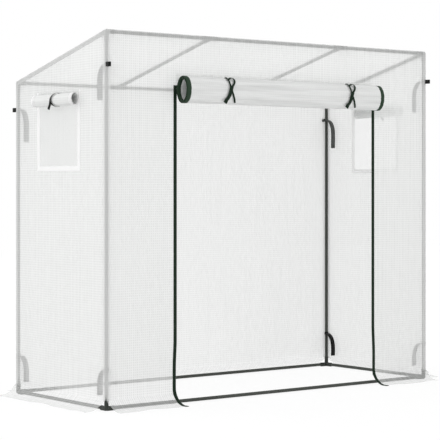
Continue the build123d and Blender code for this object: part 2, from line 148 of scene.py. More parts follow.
# Windows and their flaps
WINDOW_AXIS = Vector(joint("right_window_unroll")["pos_m"])
WINDOW_ROLL_HALF = (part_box("right_window_roll")[1].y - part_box("right_window_roll")[0].y) / 2
WINDOW_RADIUS = WINDOW_AXIS.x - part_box("right_window_roll")[0].x
WINDOW_WOUND = joint("right_window_drop")["range_m"][1] + WINDOW_RADIUS
WINDOW_PITCH = 2.3 * MM
WINDOW_BINDING = 24 * MM
WINDOW_BINDING_THICK = 2 * MM
WINDOW_SEED = 9
BORDER_LOW, BORDER_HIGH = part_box("right_window_border")
BORDER_WIDTH = 22 * MM
BORDER_THICK = 1.2 * MM
BORDER_SOFT = 0.5 * MM
BORDER_LAP = 7 * MM
WINDOW_HALF = (BORDER_HIGH.y - BORDER_LOW.y) / 2 - BORDER_WIDTH
WINDOW_LOW = BORDER_LOW.z + BORDER_WIDTH
WINDOW_HIGH = BORDER_HIGH.z - BORDER_WIDTH

SIDES = {"left": -1, "right": 1}
SQUARE = ((-1, -1), (1, -1), (1, 1), (-1, 1))
TUBES = ("_post_lower", "_post_upper", "_rail", "_rail_left", "_rail_middle", "_rail_right", "_rafter")
FITTINGS = ("_ground_corner", "_roof_corner", "rafter_tees")


def linear(hex_colour):
    """Linear RGBA of an sRGB hex colour."""
    channels = [int(hex_colour[i : i + 2], 16) / 255 for i in (1, 3, 5)]
    return [c / 12.92 if c <= 0.04045 else ((c + 0.055) / 1.055) ** 2.4 for c in channels] + [1.0]


def length(name, description, millimetres):
    """A length that a user may change."""
    return bpy.props.FloatProperty(
        name=name, description=description, default=millimetres * MM, min=0, unit="LENGTH", precision=4
    )


def colour(name, description, hex_colour):
    """A colour that a user may change."""
    return bpy.props.FloatVectorProperty(
        name=name, description=description, default=linear(hex_colour), size=4, min=0, max=1, subtype="COLOR"
    )


class GreenhouseSizes(bpy.types.PropertyGroup):
    """Sizes of the cover's fine detail."""

    thread_pitch: length("Thread pitch", "Spacing of the cover's reinforcing threads", 11)
    thread_width: length("Thread width", "Width of one reinforcing thread", 4.4)
    wall_fold: length("Wall folds", "Height of the slack folds in the walls", 2.0)
    skirt_wave: length("Skirt waves", "Height of the waves along the skirt's hem", 4.0)
    roof_sag: length("Roof sag", "How far the roof sags between the rafters", 7.0)
    roll_crease: length("Roll creases", "Depth of the creases along a roll", 2.4)
    binding: length("Binding", "Thickness of the folded binding on the door's edges", 2.6)
    net_pitch: length("Net pitch", "Spacing of the window net's threads", 3.2)
    net_thread: length("Net thread", "Thickness of the window net's threads", 0.75)
    stitch: length("Stitch", "Length of one stitch", 4.0)
    stitch_gap: length("Stitch gap", "Gap between two stitches", 2.5)
    stitch_thread: length("Stitch thread", "Thickness of the sewing thread", 0.8)


class GreenhouseColours(bpy.types.PropertyGroup):
    """Colours of the greenhouse's finishes."""

    cloth: colour("Cover", "Milky polythene", "#EFF0EF")
    tube: colour("Tubes", "Powder coat", "#31352F")
    fitting: colour("Fittings", "Moulded plastic", "#262B25")
    tape: colour("Binding tape", "Woven tape round the doorway, and the door's ties", "#16291B")
    edge: colour("Door binding", "Woven tape along the door's edges", "#293E2D")
    webbing: colour("Webbing", "Lower ties and loops", "#121412")
    # Painted light: the upper ties are drawn in a paler webbing, where they catch more light than the lower
    # ties
    faded: colour("Faded webbing", "Upper ties, bleached by the sun", "#555755")
    cord: colour("Window ties", "Narrow ribbon", "#151715")
    border: colour("Window border", "Hook-and-loop strip", "#FDFDFD")
    net: colour("Window net", "Insect net", "#F7F8F7")
    floor: colour("Floor", "Studio floor", "#F5F5F5")


def sizes():
    """The sizes set in the sidebar."""
    return bpy.context.scene.greenhouse_sizes


# Finishes


def add(tree, kind, inputs=(), ramp=(), **settings):
    """A node with its settings, its inputs by name or in order, and the colours of its ramp.

    An input takes a value, a socket to link, or a node, whose first output is linked.
    """
    node = tree.nodes.new(kind)
    for name, value in settings.items():
        setattr(node, name, value)
    for socket, value in inputs.items() if isinstance(inputs, dict) else enumerate(inputs):
        if isinstance(value, bpy.types.Node):
            value = value.outputs[0]
        if isinstance(value, bpy.types.NodeSocket):
            tree.links.new(value, node.inputs[socket])
        else:
            node.inputs[socket].default_value = value
    for stop, tint in enumerate(ramp):
        node.color_ramp.elements[stop].color = tint
    return node


def shades(base, *shares):
    """Shares of a colour's brightness."""
    return [[c * share for c in base[:3]] + [1] for share in shares]


def mottled(tree, base, size, detail, *shares):
    """Patches of about that size: their coordinates, their strength, and the colour that follows them."""
    place = add(tree, "ShaderNodeTexCoord").outputs["Object"]
    patches = add(tree, "ShaderNodeTexNoise", {"Vector": place, "Scale": 1 / size, "Detail": detail})
    tone = add(tree, "ShaderNodeValToRGB", (patches,), ramp=shades(base, *shares))
    return place, patches, tone


def shown_rays(tree):
    """1 for rays that show the surroundings: from the camera, mirrored, or through glass."""
    path = add(tree, "ShaderNodeLightPath").outputs
    shown = path["Is Camera Ray"]
    for ray in ("Is Glossy Ray", "Is Transmission Ray"):
        shown = add(tree, "ShaderNodeMath", (shown, path[ray]), operation="MAXIMUM")
    return shown


# The film's brightness beside the threads', the double cloth of a welded seam, and the attribute for it
FILM_SHADE = 0.97
SEAM_WIDTH = 26 * MM
SEAM_EDGE = 3 * MM
SEAM_CLEAR = 0.5
INSET = "inset"


def woven_polythene(
    tree, base, film, thread, tone=1.0, through=0.35, skirt_clear=1.0, axes=None, layers=0.0, seams=False
):
    """Woven polythene sheet, cast with a milky film over a grid of flat threads.

    The film lets part of the view through and scatters the rest, and the threads let less through.
    The film alone is a shade darker than the threads. Below the walls the skirt is stretched thinner.
    Rolled up, the cloth is drawn in a darker tone as painted shade of the cloth wound inside, with painted
    shade in faint lines along the roll where it creases.
    Where two panels are welded together, over a post or an end rafter, the cloth is double.
    The grid follows the cloth's own map, or two of the object's axes on a flap that is let down.
    """
    places = add(tree, "ShaderNodeTexCoord").outputs
    place = places["UV"]
    if axes:
        split = add(tree, "ShaderNodeSeparateXYZ", (places["Object"],)).outputs
        place = add(tree, "ShaderNodeCombineXYZ", [split[axis] for axis in axes]).outputs[0]
    weave = {
        "Vector": place,
        "Scale": 1.0,
        **dict.fromkeys(("Color1", "Color2"), (film, film, film, 1)),
        "Mortar": (thread, thread, thread, 1),
        "Mortar Size": sizes().thread_width / 2,
        "Mortar Smooth": 0.2,
        **dict.fromkeys(("Brick Width", "Row Height"), sizes().thread_pitch),
    }
    grid = add(tree, "ShaderNodeTexBrick", weave, offset=0.0, squash=1.0).outputs
    # The threads bunch a little, which shows as faint upright streaks some 15 mm wide
    drawn_out = add(tree, "ShaderNodeMapping", {"Vector": place, "Scale": (70, 1.5, 1)})
    streaks = add(tree, "ShaderNodeTexNoise", {"Vector": drawn_out, "Scale": 1.0, "Detail": 3.0})
    share = add(tree, "ShaderNodeMapRange", (streaks, 0.3, 0.7, 0.85, 1.15))
    height = add(tree, "ShaderNodeSeparateXYZ", (place,)).outputs["Y"]
    changes = [(height, BEND_Z / 2, SKIRT_SEAM, skirt_clear, 1.0)]
    if seams:
        inset = add(tree, "ShaderNodeAttribute", attribute_name=INSET).outputs["Fac"]
        changes.append((inset, SEAM_WIDTH - SEAM_EDGE, SEAM_WIDTH, SEAM_CLEAR, 1.0))
    for change in changes:
        factor = add(tree, "ShaderNodeMapRange", change)
        share = add(tree, "ShaderNodeMath", (share, factor), operation="MULTIPLY")
    clear = add(tree, "ShaderNodeMath", (grid["Color"], share), operation="MULTIPLY", use_clamp=True)
    raised = add(tree, "ShaderNodeBump", {"Height": grid["Fac"], "Strength": 0.12, "Distance": 0.2 * MM})
    milky = shades(base, tone * FILM_SHADE, tone)
    tint = add(tree, "ShaderNodeValToRGB", (grid["Fac"],), ramp=milky)
    if layers:
        # Painted shade: darker lines about 22 mm apart and half a metre long along the roll, where it creases
        lengthwise = add(tree, "ShaderNodeMapping", {"Vector": place, "Scale": (2, 45, 1)})
        lines = add(tree, "ShaderNodeTexNoise", {"Vector": lengthwise, "Scale": 1.0, "Detail": 2.0})
        depth = add(tree, "ShaderNodeMapRange", (lines, 0.3, 0.6, 1 - layers, 1.0))
        tint = add(tree, "ShaderNodeVectorMath", {0: tint, "Scale": depth}, operation="SCALE")
    film_face = {"Base Color": tint, "Roughness": 0.45, "IOR": 1.5, "Normal": raised}
    shell = add(tree, "ShaderNodeBsdfPrincipled", film_face)
    glow = add(tree, "ShaderNodeBsdfTranslucent", (tint,))
    cloth = add(tree, "ShaderNodeMixShader", (through, shell, glow))
    return add(tree, "ShaderNodeMixShader", (clear, cloth, add(tree, "ShaderNodeBsdfTransparent")))


def powder_coated_steel(tree, base):
    """Powder-coated steel tube: satin, with a fine orange peel, paler where it has been rubbed.

    The rubbed patches come nine to a metre.
    """
    place, _, tone = mottled(tree, base, 1 / 9, 4.0, 0.85, 1.25)
    peel = add(tree, "ShaderNodeTexNoise", {"Vector": place, "Scale": 1 / (2 * MM), "Detail": 1.0})
    bumps = add(tree, "ShaderNodeBump", {"Height": peel, "Strength": 0.15, "Distance": 0.1 * MM})
    coat = {"Base Color": tone, "Roughness": 0.5, "IOR": 1.5, "Normal": bumps}
    return add(tree, "ShaderNodeBsdfPrincipled", coat)


def moulded_polypropylene(tree, base):
    """Injection-moulded polypropylene: dull, with the spark-eroded grain of its mould."""
    place, _, tone = mottled(tree, base, 25 * MM, 3.0, 0.8, 1.3)
    grain = add(tree, "ShaderNodeTexNoise", {"Vector": place, "Scale": 1 / (0.6 * MM), "Detail": 2.0})
    rough = add(tree, "ShaderNodeMapRange", {"Value": grain, "To Min": 0.48, "To Max": 0.66})
    bumps = add(tree, "ShaderNodeBump", {"Height": grain, "Strength": 0.2, "Distance": 0.05 * MM})
    plastic = {"Base Color": tone, "Roughness": rough, "IOR": 1.49, "Normal": bumps}
    return add(tree, "ShaderNodeBsdfPrincipled", plastic)


def woven_ribbon(tree, base, rib, sheen=0.1):
    """Woven polyester or polypropylene ribbon: fine cross ribs, matt, with painted shade that leaves the
    hollows between the raised yarns darker.

    The ribs are drawn about twice as coarse as real ones, so that they show.
    """
    place = add(tree, "ShaderNodeTexCoord").outputs["UV"]
    sets = []
    for direction, finer in (("Y", 2), ("X", 3)):
        bands = {"Vector": place, "Scale": 1 / (TURN * rib / finer), "Distortion": 0.6, "Detail": 1.0}
        sets.append(add(tree, "ShaderNodeTexWave", bands, bands_direction=direction).outputs["Fac"])
    weave = add(tree, "ShaderNodeMath", sets, operation="MULTIPLY")
    # Painted shade: darker in the weave's hollows, paler on its raised yarns
    tone = add(tree, "ShaderNodeValToRGB", (weave,), ramp=shades(base, 0.7, 1.35))
    yarn = {
        "Base Color": tone,
        "Roughness": 0.8,
        "Specular IOR Level": 0.15,
        "Sheen Weight": sheen,
        "Sheen Roughness": 0.5,
        "Normal": add(tree, "ShaderNodeBump", {"Height": weave, "Strength": 0.5, "Distance": 0.3 * MM}),
    }
    return add(tree, "ShaderNodeBsdfPrincipled", yarn)


# Share of light that passes the strip's nap
NAP_THROUGH = 0.37


def hook_and_loop(tree, base):
    """White hook-and-loop strip: a nap of short loops, quite matt, with a faint mottle."""
    _, nap, tone = mottled(tree, base, 1.5 * MM, 3.0, 0.93, 1)
    bumps = add(tree, "ShaderNodeBump", {"Height": nap, "Strength": 0.5, "Distance": 0.4 * MM})
    strip = add(tree, "ShaderNodeBsdfPrincipled", {"Base Color": tone, "Roughness": 0.9, "Normal": bumps})
    glow = add(tree, "ShaderNodeBsdfTranslucent", (tone,))
    return add(tree, "ShaderNodeMixShader", (NAP_THROUGH, strip, glow))


def spun_thread(tree, base):
    """Polyester thread or net yarn: smooth filaments with a soft shine and slight unevenness."""
    _, _, tone = mottled(tree, base, 3 * MM, 2.0, 0.9, 1)
    return add(tree, "ShaderNodeBsdfPrincipled", {"Base Color": tone, "Roughness": 0.55, "IOR": 1.55})


# Share of plain white in the floor as it is seen; the rest shows the shadow
FLOOR_WHITE = 0.88


def studio_floor(tree, base):
    """Seamless white floor: white to the eye, and it keeps part of the shadow that falls on it."""
    _, _, tone = mottled(tree, base, 500 * MM, 2.0, 0.98, 1)
    share = add(tree, "ShaderNodeMath", (shown_rays(tree), FLOOR_WHITE), operation="MULTIPLY")
    paint = add(tree, "ShaderNodeBsdfDiffuse", (tone,))
    white = add(tree, "ShaderNodeEmission", {"Color": (1, 1, 1, 1), "Strength": 1.0})
    return add(tree, "ShaderNodeMixShader", (share, paint, white))


# Shares of the view that pass film and threads of hung and of rolled cloth, and of light let through
HUNG = {"film": 0.41, "thread": 0.325}
ROLLED = {"film": 0.06, "thread": 0.03, "through": 0.1}

# Each finish: its maker, its colour and what else the maker needs
FINISHES = {
    "woven_polythene": (woven_polythene, "cloth", {**HUNG, "skirt_clear": 1.5, "seams": True}),
    # Rolled cloth: a darker tone as painted shade of the cloth wound inside, and painted shade in lines along
    # its creases
    "rolled_polythene": (woven_polythene, "cloth", {**ROLLED, "tone": 0.95, "layers": 0.15}),
    "window_rolled_polythene": (woven_polythene, "cloth", {**ROLLED, "tone": 0.9, "layers": 0.06}),
    "door_polythene": (woven_polythene, "cloth", {**HUNG, "axes": "XZ"}),
    "window_polythene": (woven_polythene, "cloth", {**HUNG, "axes": "YZ"}),
    "powder_coated_steel": (powder_coated_steel, "tube", {}),
    "moulded_polypropylene": (moulded_polypropylene, "fitting", {}),
    "polyester_binding": (woven_ribbon, "tape", {"rib": 2.4 * MM, "sheen": 0.05}),
    "rolled_binding": (woven_ribbon, "edge", {"rib": 2.4 * MM}),
    "polypropylene_webbing": (woven_ribbon, "webbing", {"rib": 3 * MM}),
    # Paler webbing of the upper ties, as painted light
    "faded_webbing": (woven_ribbon, "faded", {"rib": 3 * MM}),
    "narrow_ribbon": (woven_ribbon, "cord", {"rib": 2 * MM}),
    "hook_and_loop": (hook_and_loop, "border", {}),
    "insect_net": (spun_thread, "net", {}),
    "white_thread": (spun_thread, "border", {}),
    "green_thread": (spun_thread, "tape", {}),
    "studio_floor": (studio_floor, "floor", {}),
}


def finish_of(name):
    """A finish, made on first use."""
    made = bpy.data.materials.get(name)
    if made:
        return made
    made = bpy.data.materials.new(name)
    made.use_nodes = True
    tree = made.node_tree
    tree.nodes.clear()
    maker, hue, values = FINISHES[name]
    shader = maker(tree, getattr(bpy.context.scene.greenhouse_colours, hue), **values)
    add(tree, "ShaderNodeOutputMaterial", {"Surface": shader})
    return made


# Shapes


def ease(share):
    """Smooth step from 0 to 1."""
    share = np.clip(share, 0, 1)
    return share * share * (3 - 2 * share)


def waves(a, b, size, seed, count=7):
    """Smooth uneven waves of about that size over two flat coordinates, mostly from -1 to 1."""
    draw = np.random.default_rng(seed)
    total = np.zeros(np.broadcast(a, b).shape)
    for _ in range(count):
        turn, phase = draw.uniform(0, TURN, 2)
        wavelength = size * draw.uniform(0.7, 1.5)
        total += np.sin(TURN * (a * np.cos(turn) + b * np.sin(turn)) / wavelength + phase)
    return total / math.sqrt(count)


def stations(*stretches):
    """Stations through stretches of (start, end, step)."""
    rows = [np.linspace(a, b, max(2, int(round(abs(b - a) / step)) + 1)) for a, b, step in stretches]
    return np.unique(np.concatenate(rows).round(7))


def unit(rows):
    """Rows of numbers as directions."""
    return rows / np.linalg.norm(rows, axis=-1, keepdims=True)


def run_along(points):
    """Length of a line up to each of its points."""
    return np.concatenate([[0], np.cumsum(np.linalg.norm(np.diff(points, axis=0), axis=1))])


def smooth_path(knots, per_span=10):
    """A smooth line through knots, each a row of numbers."""
    knots = np.asarray(knots, float)
    padded = np.concatenate([[2 * knots[0] - knots[1]], knots, [2 * knots[-1] - knots[-2]]])
    rows = []
    for a, b, c, d in zip(padded, padded[1:], padded[2:], padded[3:]):
        for t in np.arange(per_span) / per_span:
            bend = 2 * b + (c - a) * t + (2 * a - 5 * b + 4 * c - d) * t**2 + (3 * b - a - 3 * c + d) * t**3
            rows.append(bend / 2)
    return np.array(rows + [knots[-1]])


def place_object(name, data, finish=None):
    """An object for finished data, in a finish unless the data has one."""
    if finish:
        data.materials.append(finish_of(finish))
    made = bpy.data.objects.new(name, data)
    bpy.context.scene.collection.objects.link(made)
    return made


def fit(piece, slot, *nodes, body="frame"):
    """Rides a piece on a body, in place of the nodes that it stands for."""
    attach(piece, body)
    if nodes:
        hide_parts(*nodes)


def sheet_object(name, across, up, place, finish, hole=()):
    """A sheet laid out on flat coordinates, less a hole.

    From those, place works out the points, where they lie in the flat cloth and, where the cloth has
    welded seams, how far they are from its edges.
    """
    u, v = (grid.ravel() for grid in np.meshgrid(across, up))
    points, flat, *inset = place(u, v)
    columns = len(across)
    first = (np.arange(len(up) - 1)[:, None] * columns + np.arange(columns - 1)).ravel()
    faces = np.stack([first, first + 1, first + 1 + columns, first + columns], 1)
    if hole:
        mid_u = u[faces].mean(1)
        mid_v = v[faces].mean(1)
        inside = (mid_u > hole[0]) & (mid_u < hole[1]) & (mid_v > hole[2]) & (mid_v < hole[3])
        faces = faces[~inside]
    used, faces = np.unique(faces, return_inverse=True)
    faces = faces.reshape(-1, 4)
    mesh = bpy.data.meshes.new(name)
    mesh.from_pydata(points[used].tolist(), [], faces.tolist())
    layer = mesh.uv_layers.new(name="Cloth")
    layer.data.foreach_set("uv", flat[used][faces.ravel()].astype(np.float32).ravel())
    mesh.shade_smooth()
    if inset:
        seams = mesh.attributes.new(INSET, "FLOAT", "POINT")
        seams.data.foreach_set("value", inset[0][used].astype(np.float32))
    corners = flat[used][faces]
    one, other = corners[:, 2] - corners[:, 0], corners[:, 3] - corners[:, 1]
    made = place_object(name, mesh, finish)
    made["flat_area"] = float(np.abs(one[:, 0] * other[:, 1] - one[:, 1] * other[:, 0]).sum() / 2)
    return made


SHARP_EDGE = math.radians(50)


def strip_object(name, strips, finish):
    """Flat ribbons of closed section; each strip is (centres, normals, width, thickness)."""
    mesh = bpy.data.meshes.new(name)
    shape = bmesh.new()
    layer = shape.loops.layers.uv.new("Ribbon")
    for centres, normals, width, thickness in strips:
        centres = np.asarray(centres, float)
        ahead = unit(np.gradient(centres, axis=0))
        beside = unit(np.cross(ahead, np.asarray(normals, float)))
        above = np.cross(beside, ahead)
        run = run_along(centres)
        half, thin = width / 2, thickness / 2
        soft = min(thin, half / 3)
        upper = [(half, thin / 2), (half - soft, thin), (soft - half, thin), (-half, thin / 2)]
        section = [(a, -b) for a, b in upper[::-1]] + upper
        rings = []
        for point, side, up in zip(centres, beside, above):
            rings.append([shape.verts.new(point + side * a + up * b) for a, b in section])
        for row, (ring, following) in enumerate(zip(rings, rings[1:])):
            for k in range(len(section)):
                after = (k + 1) % len(section)
                face = shape.faces.new((ring[k], following[k], following[after], ring[after]))
                spots = ((k, row), (k, row + 1), (after, row + 1), (after, row))
                for loop, (spot, station) in zip(face.loops, spots):
                    loop[layer].uv = (section[spot][0], run[station])
        shape.faces.new(rings[0])
        shape.faces.new(rings[-1][::-1])
    bmesh.ops.recalc_face_normals(shape, faces=shape.faces)
    shape.to_mesh(mesh)
    shape.free()
    mesh.shade_smooth()
    mesh.set_sharp_from_angle(angle=SHARP_EDGE)
    return place_object(name, mesh, finish)


# Walls: where each starts, which way it runs and which way it faces


class Wall:
    """A wall of the cover, with its flat coordinates: along it, out of it and up."""

    def __init__(self, base, along, half):
        self.base = np.array(base)
        self.along = np.array(along)
        self.out = np.array((along[1], -along[0]))
        self.half = half

    def point(self, u, d, z):
        """Points at u along the wall, d out of it and height z."""
        u, d, z = np.broadcast_arrays(u, d, z)
        flat = self.base + u[..., None] * self.along + d[..., None] * self.out
        return np.concatenate([flat, z[..., None]], axis=-1)

    def top(self, u):
        """Height of the wall's upper edge."""
        return roof_height(self.base[1] + u * self.along[1])

    def out_to(self, node):
        """How far the middle of a node is out of the wall."""
        return float((np.array(middle(node)[:2]) - self.base) @ self.out)


def roof_height(y):
    """Height of the roof's cloth, before its edges are rounded."""
    return FRONT_TOP + COVER_OFFSET / math.cos(SLOPE) - (y - FRONT_Y) * math.tan(SLOPE)


LONG_HALF = POST_X + COVER_OFFSET
SHORT_HALF = (BACK_Y - FRONT_Y) / 2 + COVER_OFFSET
WALLS = {
    "front": Wall((0, FRONT_Y - COVER_OFFSET), (1, 0), LONG_HALF),
    "back": Wall((0, BACK_Y + COVER_OFFSET), (-1, 0), LONG_HALF),
    "left": Wall((-LONG_HALF, MIDDLE_Y), (0, -1), SHORT_HALF),
    "right": Wall((LONG_HALF, MIDDLE_Y), (0, 1), SHORT_HALF),
}

# A wall's rows run level up to its shoulder and slant above it, to meet the roof
WALL_LEVEL = FRONT_TOP
SHOULDER = WINDOW_HIGH + BORDER_WIDTH

# Spacing of points in the cloth, closest along the edges that bend over a tube
EDGE = COVER_OFFSET + 1 * MM
EDGE_STEP = 2 * MM
SKIRT_STEP = 4 * MM
COLUMN_STEP = 16 * MM
ROW_STEP = 18 * MM
ROOF_STEP = 14 * MM

# Lengths of the waves in the skirts, their hems, the walls and the roof, in metres
SKIRT_RIPPLE = 0.34
HEM_RIPPLE = 0.22
WALL_PLEAT = 0.33
WALL_BULGE = 0.5
ROOF_PLEAT = 0.25

# Shares of those waves in the skirts, in the walls' pleats, bulges and inward lean, and in the roof
SKIRT_SHARE = 0.4
PLEAT_SHARE = 0.55
BULGE_SHARE = 0.3
LEAN_SHARE = 0.4
ROOF_SHARE = 0.18

# The highest wave of a hem, how far pleats slant, the share of a bay where the roof is taut, its seed
HEM_HIGHEST = 1.6
PLEAT_SLANT = 0.22
ROOF_SLANT = 0.4
ROOF_TAUT = 0.2
ROOF_SEED = 71

# Where the cloth is taut: along a wall's edges, above the skirt and round what is sewn to a wall
TAUT_EDGE = 20 * MM
EDGE_EASE = 150 * MM
SKIRT_EASE = 200 * MM
SEWN_EASE = 90 * MM


def over_tubes(points):
    """Rounds the cover's sharp edges over the tubes that lie along them."""
    core = points.copy()
    core[:, 0] = np.clip(points[:, 0], -POST_X, POST_X)
    y, z = points[:, 1], points[:, 2]
    run, fall = BACK_Y - FRONT_Y, BACK_TOP - FRONT_TOP
    share = np.clip(((y - FRONT_Y) * run + (z - FRONT_TOP) * fall) / (run**2 + fall**2), 0, 1)
    inner_y = np.clip(y, FRONT_Y, BACK_Y)
    under = z <= FRONT_TOP + (inner_y - FRONT_Y) * fall / run
    core[:, 1] = np.where(under, inner_y, FRONT_Y + share * run)
    core[:, 2] = np.where(under, z, FRONT_TOP + share * fall)
    away = points - core
    return core + away * (COVER_OFFSET / np.linalg.norm(away, axis=1))[:, None]


def skirt_profile(v):
    """How far out and how high the cloth is, at v up the wall; below the bend v runs on along the cloth."""
    angle = np.interp(BEND_Z - v, BEND_RUN, BEND_ANGLES)
    flat = np.clip(FLOOR_V - v, 0, None)
    out = BEND_OUT * (1 - np.cos(angle)) + flat
    height = np.where(v > BEND_Z, v, BEND_Z - BEND_UP * np.sin(angle))
    return out, height


def hang_wall(wall, seed, sewn):
    """Lays out a wall and its skirt: slack folds in the wall, waves in the skirt, slits at its corners.

    The wall lies flat round what is sewn to it, given as a half width and two heights.
    """

    def place(u, v):
        top = wall.top(u)
        slanted = SHOULDER + (v - SHOULDER) * (top - SHOULDER) / (WALL_LEVEL - SHOULDER)
        v = np.where(v > SHOULDER, slanted, v)
        neck = ease((SLIT_HEAD - v) / SLIT_RISE)
        slit = SLIT_NECK * neck + (1 - SLIT_NECK) * ease((SLIT_ARMS - v) / SLIT_RISE)
        inner = wall.half - END_BAND
        drawn = np.sign(u) * (inner + (np.abs(u) - inner) * (END_BAND - slit * SLIT) / END_BAND)
        across = np.where(np.abs(u) > inner, drawn, u)
        out, height = skirt_profile(v)
        low = ease((SKIRT_SEAM - v) / (SKIRT_SEAM - HEM_V))
        out = out + low * sizes().skirt_wave * SKIRT_SHARE * waves(across, 0 * v, SKIRT_RIPPLE, seed)
        lift = np.clip(waves(across, v, HEM_RIPPLE, seed + 1), 0, HEM_HIGHEST)
        height = height + low**2 * sizes().skirt_wave * lift
        sharp = wall.point(across, out, height)
        shaped = sharp + (1 - neck)[:, None] * (over_tubes(sharp) - sharp)
        from_corner = wall.half - np.abs(u)
        inset = np.minimum(from_corner, top - v)
        slack = ease((inset - TAUT_EDGE) / EDGE_EASE) * ease((v - SKIRT_SEAM) / SKIRT_EASE)
        if sewn:
            outside = np.maximum.reduce([np.abs(u) - sewn[0], sewn[1] - v, v - sewn[2]])
            slack = slack * ease(outside / SEWN_EASE)
        pleats = PLEAT_SHARE * waves(u, PLEAT_SLANT * v, WALL_PLEAT, seed + 2)
        fold = pleats + BULGE_SHARE * waves(u, v, WALL_BULGE, seed + 3) - LEAN_SHARE
        shaped[:, :2] += (slack * sizes().wall_fold * fold)[:, None] * wall.out
        seam = inset if wall.along[0] == 0 else from_corner
        return shaped, np.stack([u, v], 1), np.where(v < SLIT_HEAD, SEAM_WIDTH, seam)

    return place


def wall_columns(half, *breaks):
    """Columns across a wall, close together at its corners and on the given breaks."""
    marks = sorted({-half, -half + EDGE, half - EDGE, half, *breaks})
    steps = [EDGE_STEP if b - a < 2 * EDGE else COLUMN_STEP for a, b in zip(marks, marks[1:])]
    return stations(*zip(marks, marks[1:], steps))


def wall_rows(*breaks):
    """Rows from the hem to the roof, close together in the bend and under the roof."""
    skirt = (HEM_V, FLOOR_V, SLIT_HEAD - SLIT_RISE, BEND_Z, SKIRT_SEAM)
    marks = sorted({*skirt, SHOULDER, WALL_LEVEL - EDGE, WALL_LEVEL, *breaks})
    steps = []
    for low, high in zip(marks, marks[1:]):
        upper_step = EDGE_STEP if low >= WALL_LEVEL - EDGE else ROW_STEP
        steps.append(SKIRT_STEP if high <= SKIRT_SEAM else upper_step)
    return stations(*zip(marks, marks[1:], steps))


def make_cover():
    """The cover: four walls with their skirts, and the roof."""
    for number, (name, wall) in enumerate(WALLS.items()):
        skirts = [f"{name}_skirt"]
        hole = sewn = ()
        if name == "front":
            skirts = ["front_left_skirt", "front_right_skirt"]
            hole = (-DOOR_EDGE_X, DOOR_EDGE_X, HEM_V, DOOR_TOP)
            sewn = (DOOR_TAPE_X, HEM_V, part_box("door_flap")[1].z)
        elif name in SIDES:
            lap = BORDER_WIDTH - BORDER_LAP
            half = WINDOW_HALF + lap
            hole = (-half, half, WINDOW_LOW - lap, WINDOW_HIGH + lap)
            sewn = (WINDOW_HALF + BORDER_WIDTH, BORDER_LOW.z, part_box(f"{name}_window_flap")[1].z)
        columns = wall_columns(wall.half, *hole[:2])
        rows = wall_rows(*hole[2:])
        place = hang_wall(wall, 10 * number + 3, sewn)
        made = sheet_object(f"{name}_cloth", columns, rows, place, "woven_polythene", hole)
        fit(made, "cover", f"{name}_cover", *skirts)
        tall = float(wall.top(np.array([-wall.half, wall.half])).max()) - HEM_V
    make_roof()


def make_roof():
    """The roof, which sags a little between its four rafters."""
    front, back = FRONT_Y - COVER_OFFSET, BACK_Y + COVER_OFFSET
    supports = np.array([-POST_X, -RAFTER_X, RAFTER_X, POST_X])

    def place(u, v):
        shaped = over_tubes(np.stack([u, v, roof_height(v)], 1))
        bay = np.clip(np.searchsorted(supports, u) - 1, 0, 2)
        between = np.clip((u - supports[bay]) / (supports[bay + 1] - supports[bay]), 0, 1)
        down = np.clip((v - FRONT_Y) / (BACK_Y - FRONT_Y), 0, 1)
        belly = np.sin(math.pi * between) ** 1.3 * np.sin(math.pi * down) ** 0.8
        pleats = ROOF_SHARE * waves(u, ROOF_SLANT * v, ROOF_PLEAT, ROOF_SEED)
        fold = pleats * ease(between / ROOF_TAUT) * ease((1 - between) / ROOF_TAUT)
        shaped[:, 2] -= sizes().roof_sag * np.sin(math.pi * down) * (belly + fold)
        return shaped, np.stack([u, v / math.cos(SLOPE)], 1), LONG_HALF - np.abs(u)

    columns = wall_columns(LONG_HALF, -RAFTER_X, RAFTER_X)
    edges = (front, front + EDGE, EDGE_STEP), (back - EDGE, back, EDGE_STEP)
    rows = stations(*edges, (front + EDGE, back - EDGE, ROOF_STEP))
    made = sheet_object("roof_cloth", columns, rows, place, "woven_polythene")
    fit(made, "cover", "roof_cover")


# Rolls: how flat they are pressed, their creases, the nip under each tie and the lap of the bindings

ROLL_FLATNESS = 0.69
ROLLED_CLOTH = 1.6 * MM
CREASE_LENGTH = 52 * MM
CREASE_WIDTH = 0.22
NIP_WIDTH = 26 * MM
NIP_DEPTH = 1.6 * MM
BINDING_LAP = 2 * MM

# Spacing of points in rolls and flaps, closer in a roll's outer turn
OUTER_TURN = 1.1 * TURN
OUTER_STEP = math.radians(2)
INNER_STEP = math.radians(7)
ROLL_STEP = 12 * MM
FLAP_STEP = 1.5 * MM

# Shares of their thickness that rolls and ties would keep when a flap is let down, listed with a window's
# pieces but not used
ROLL_KEPT = 0.06
TIE_KEPT = 0.03


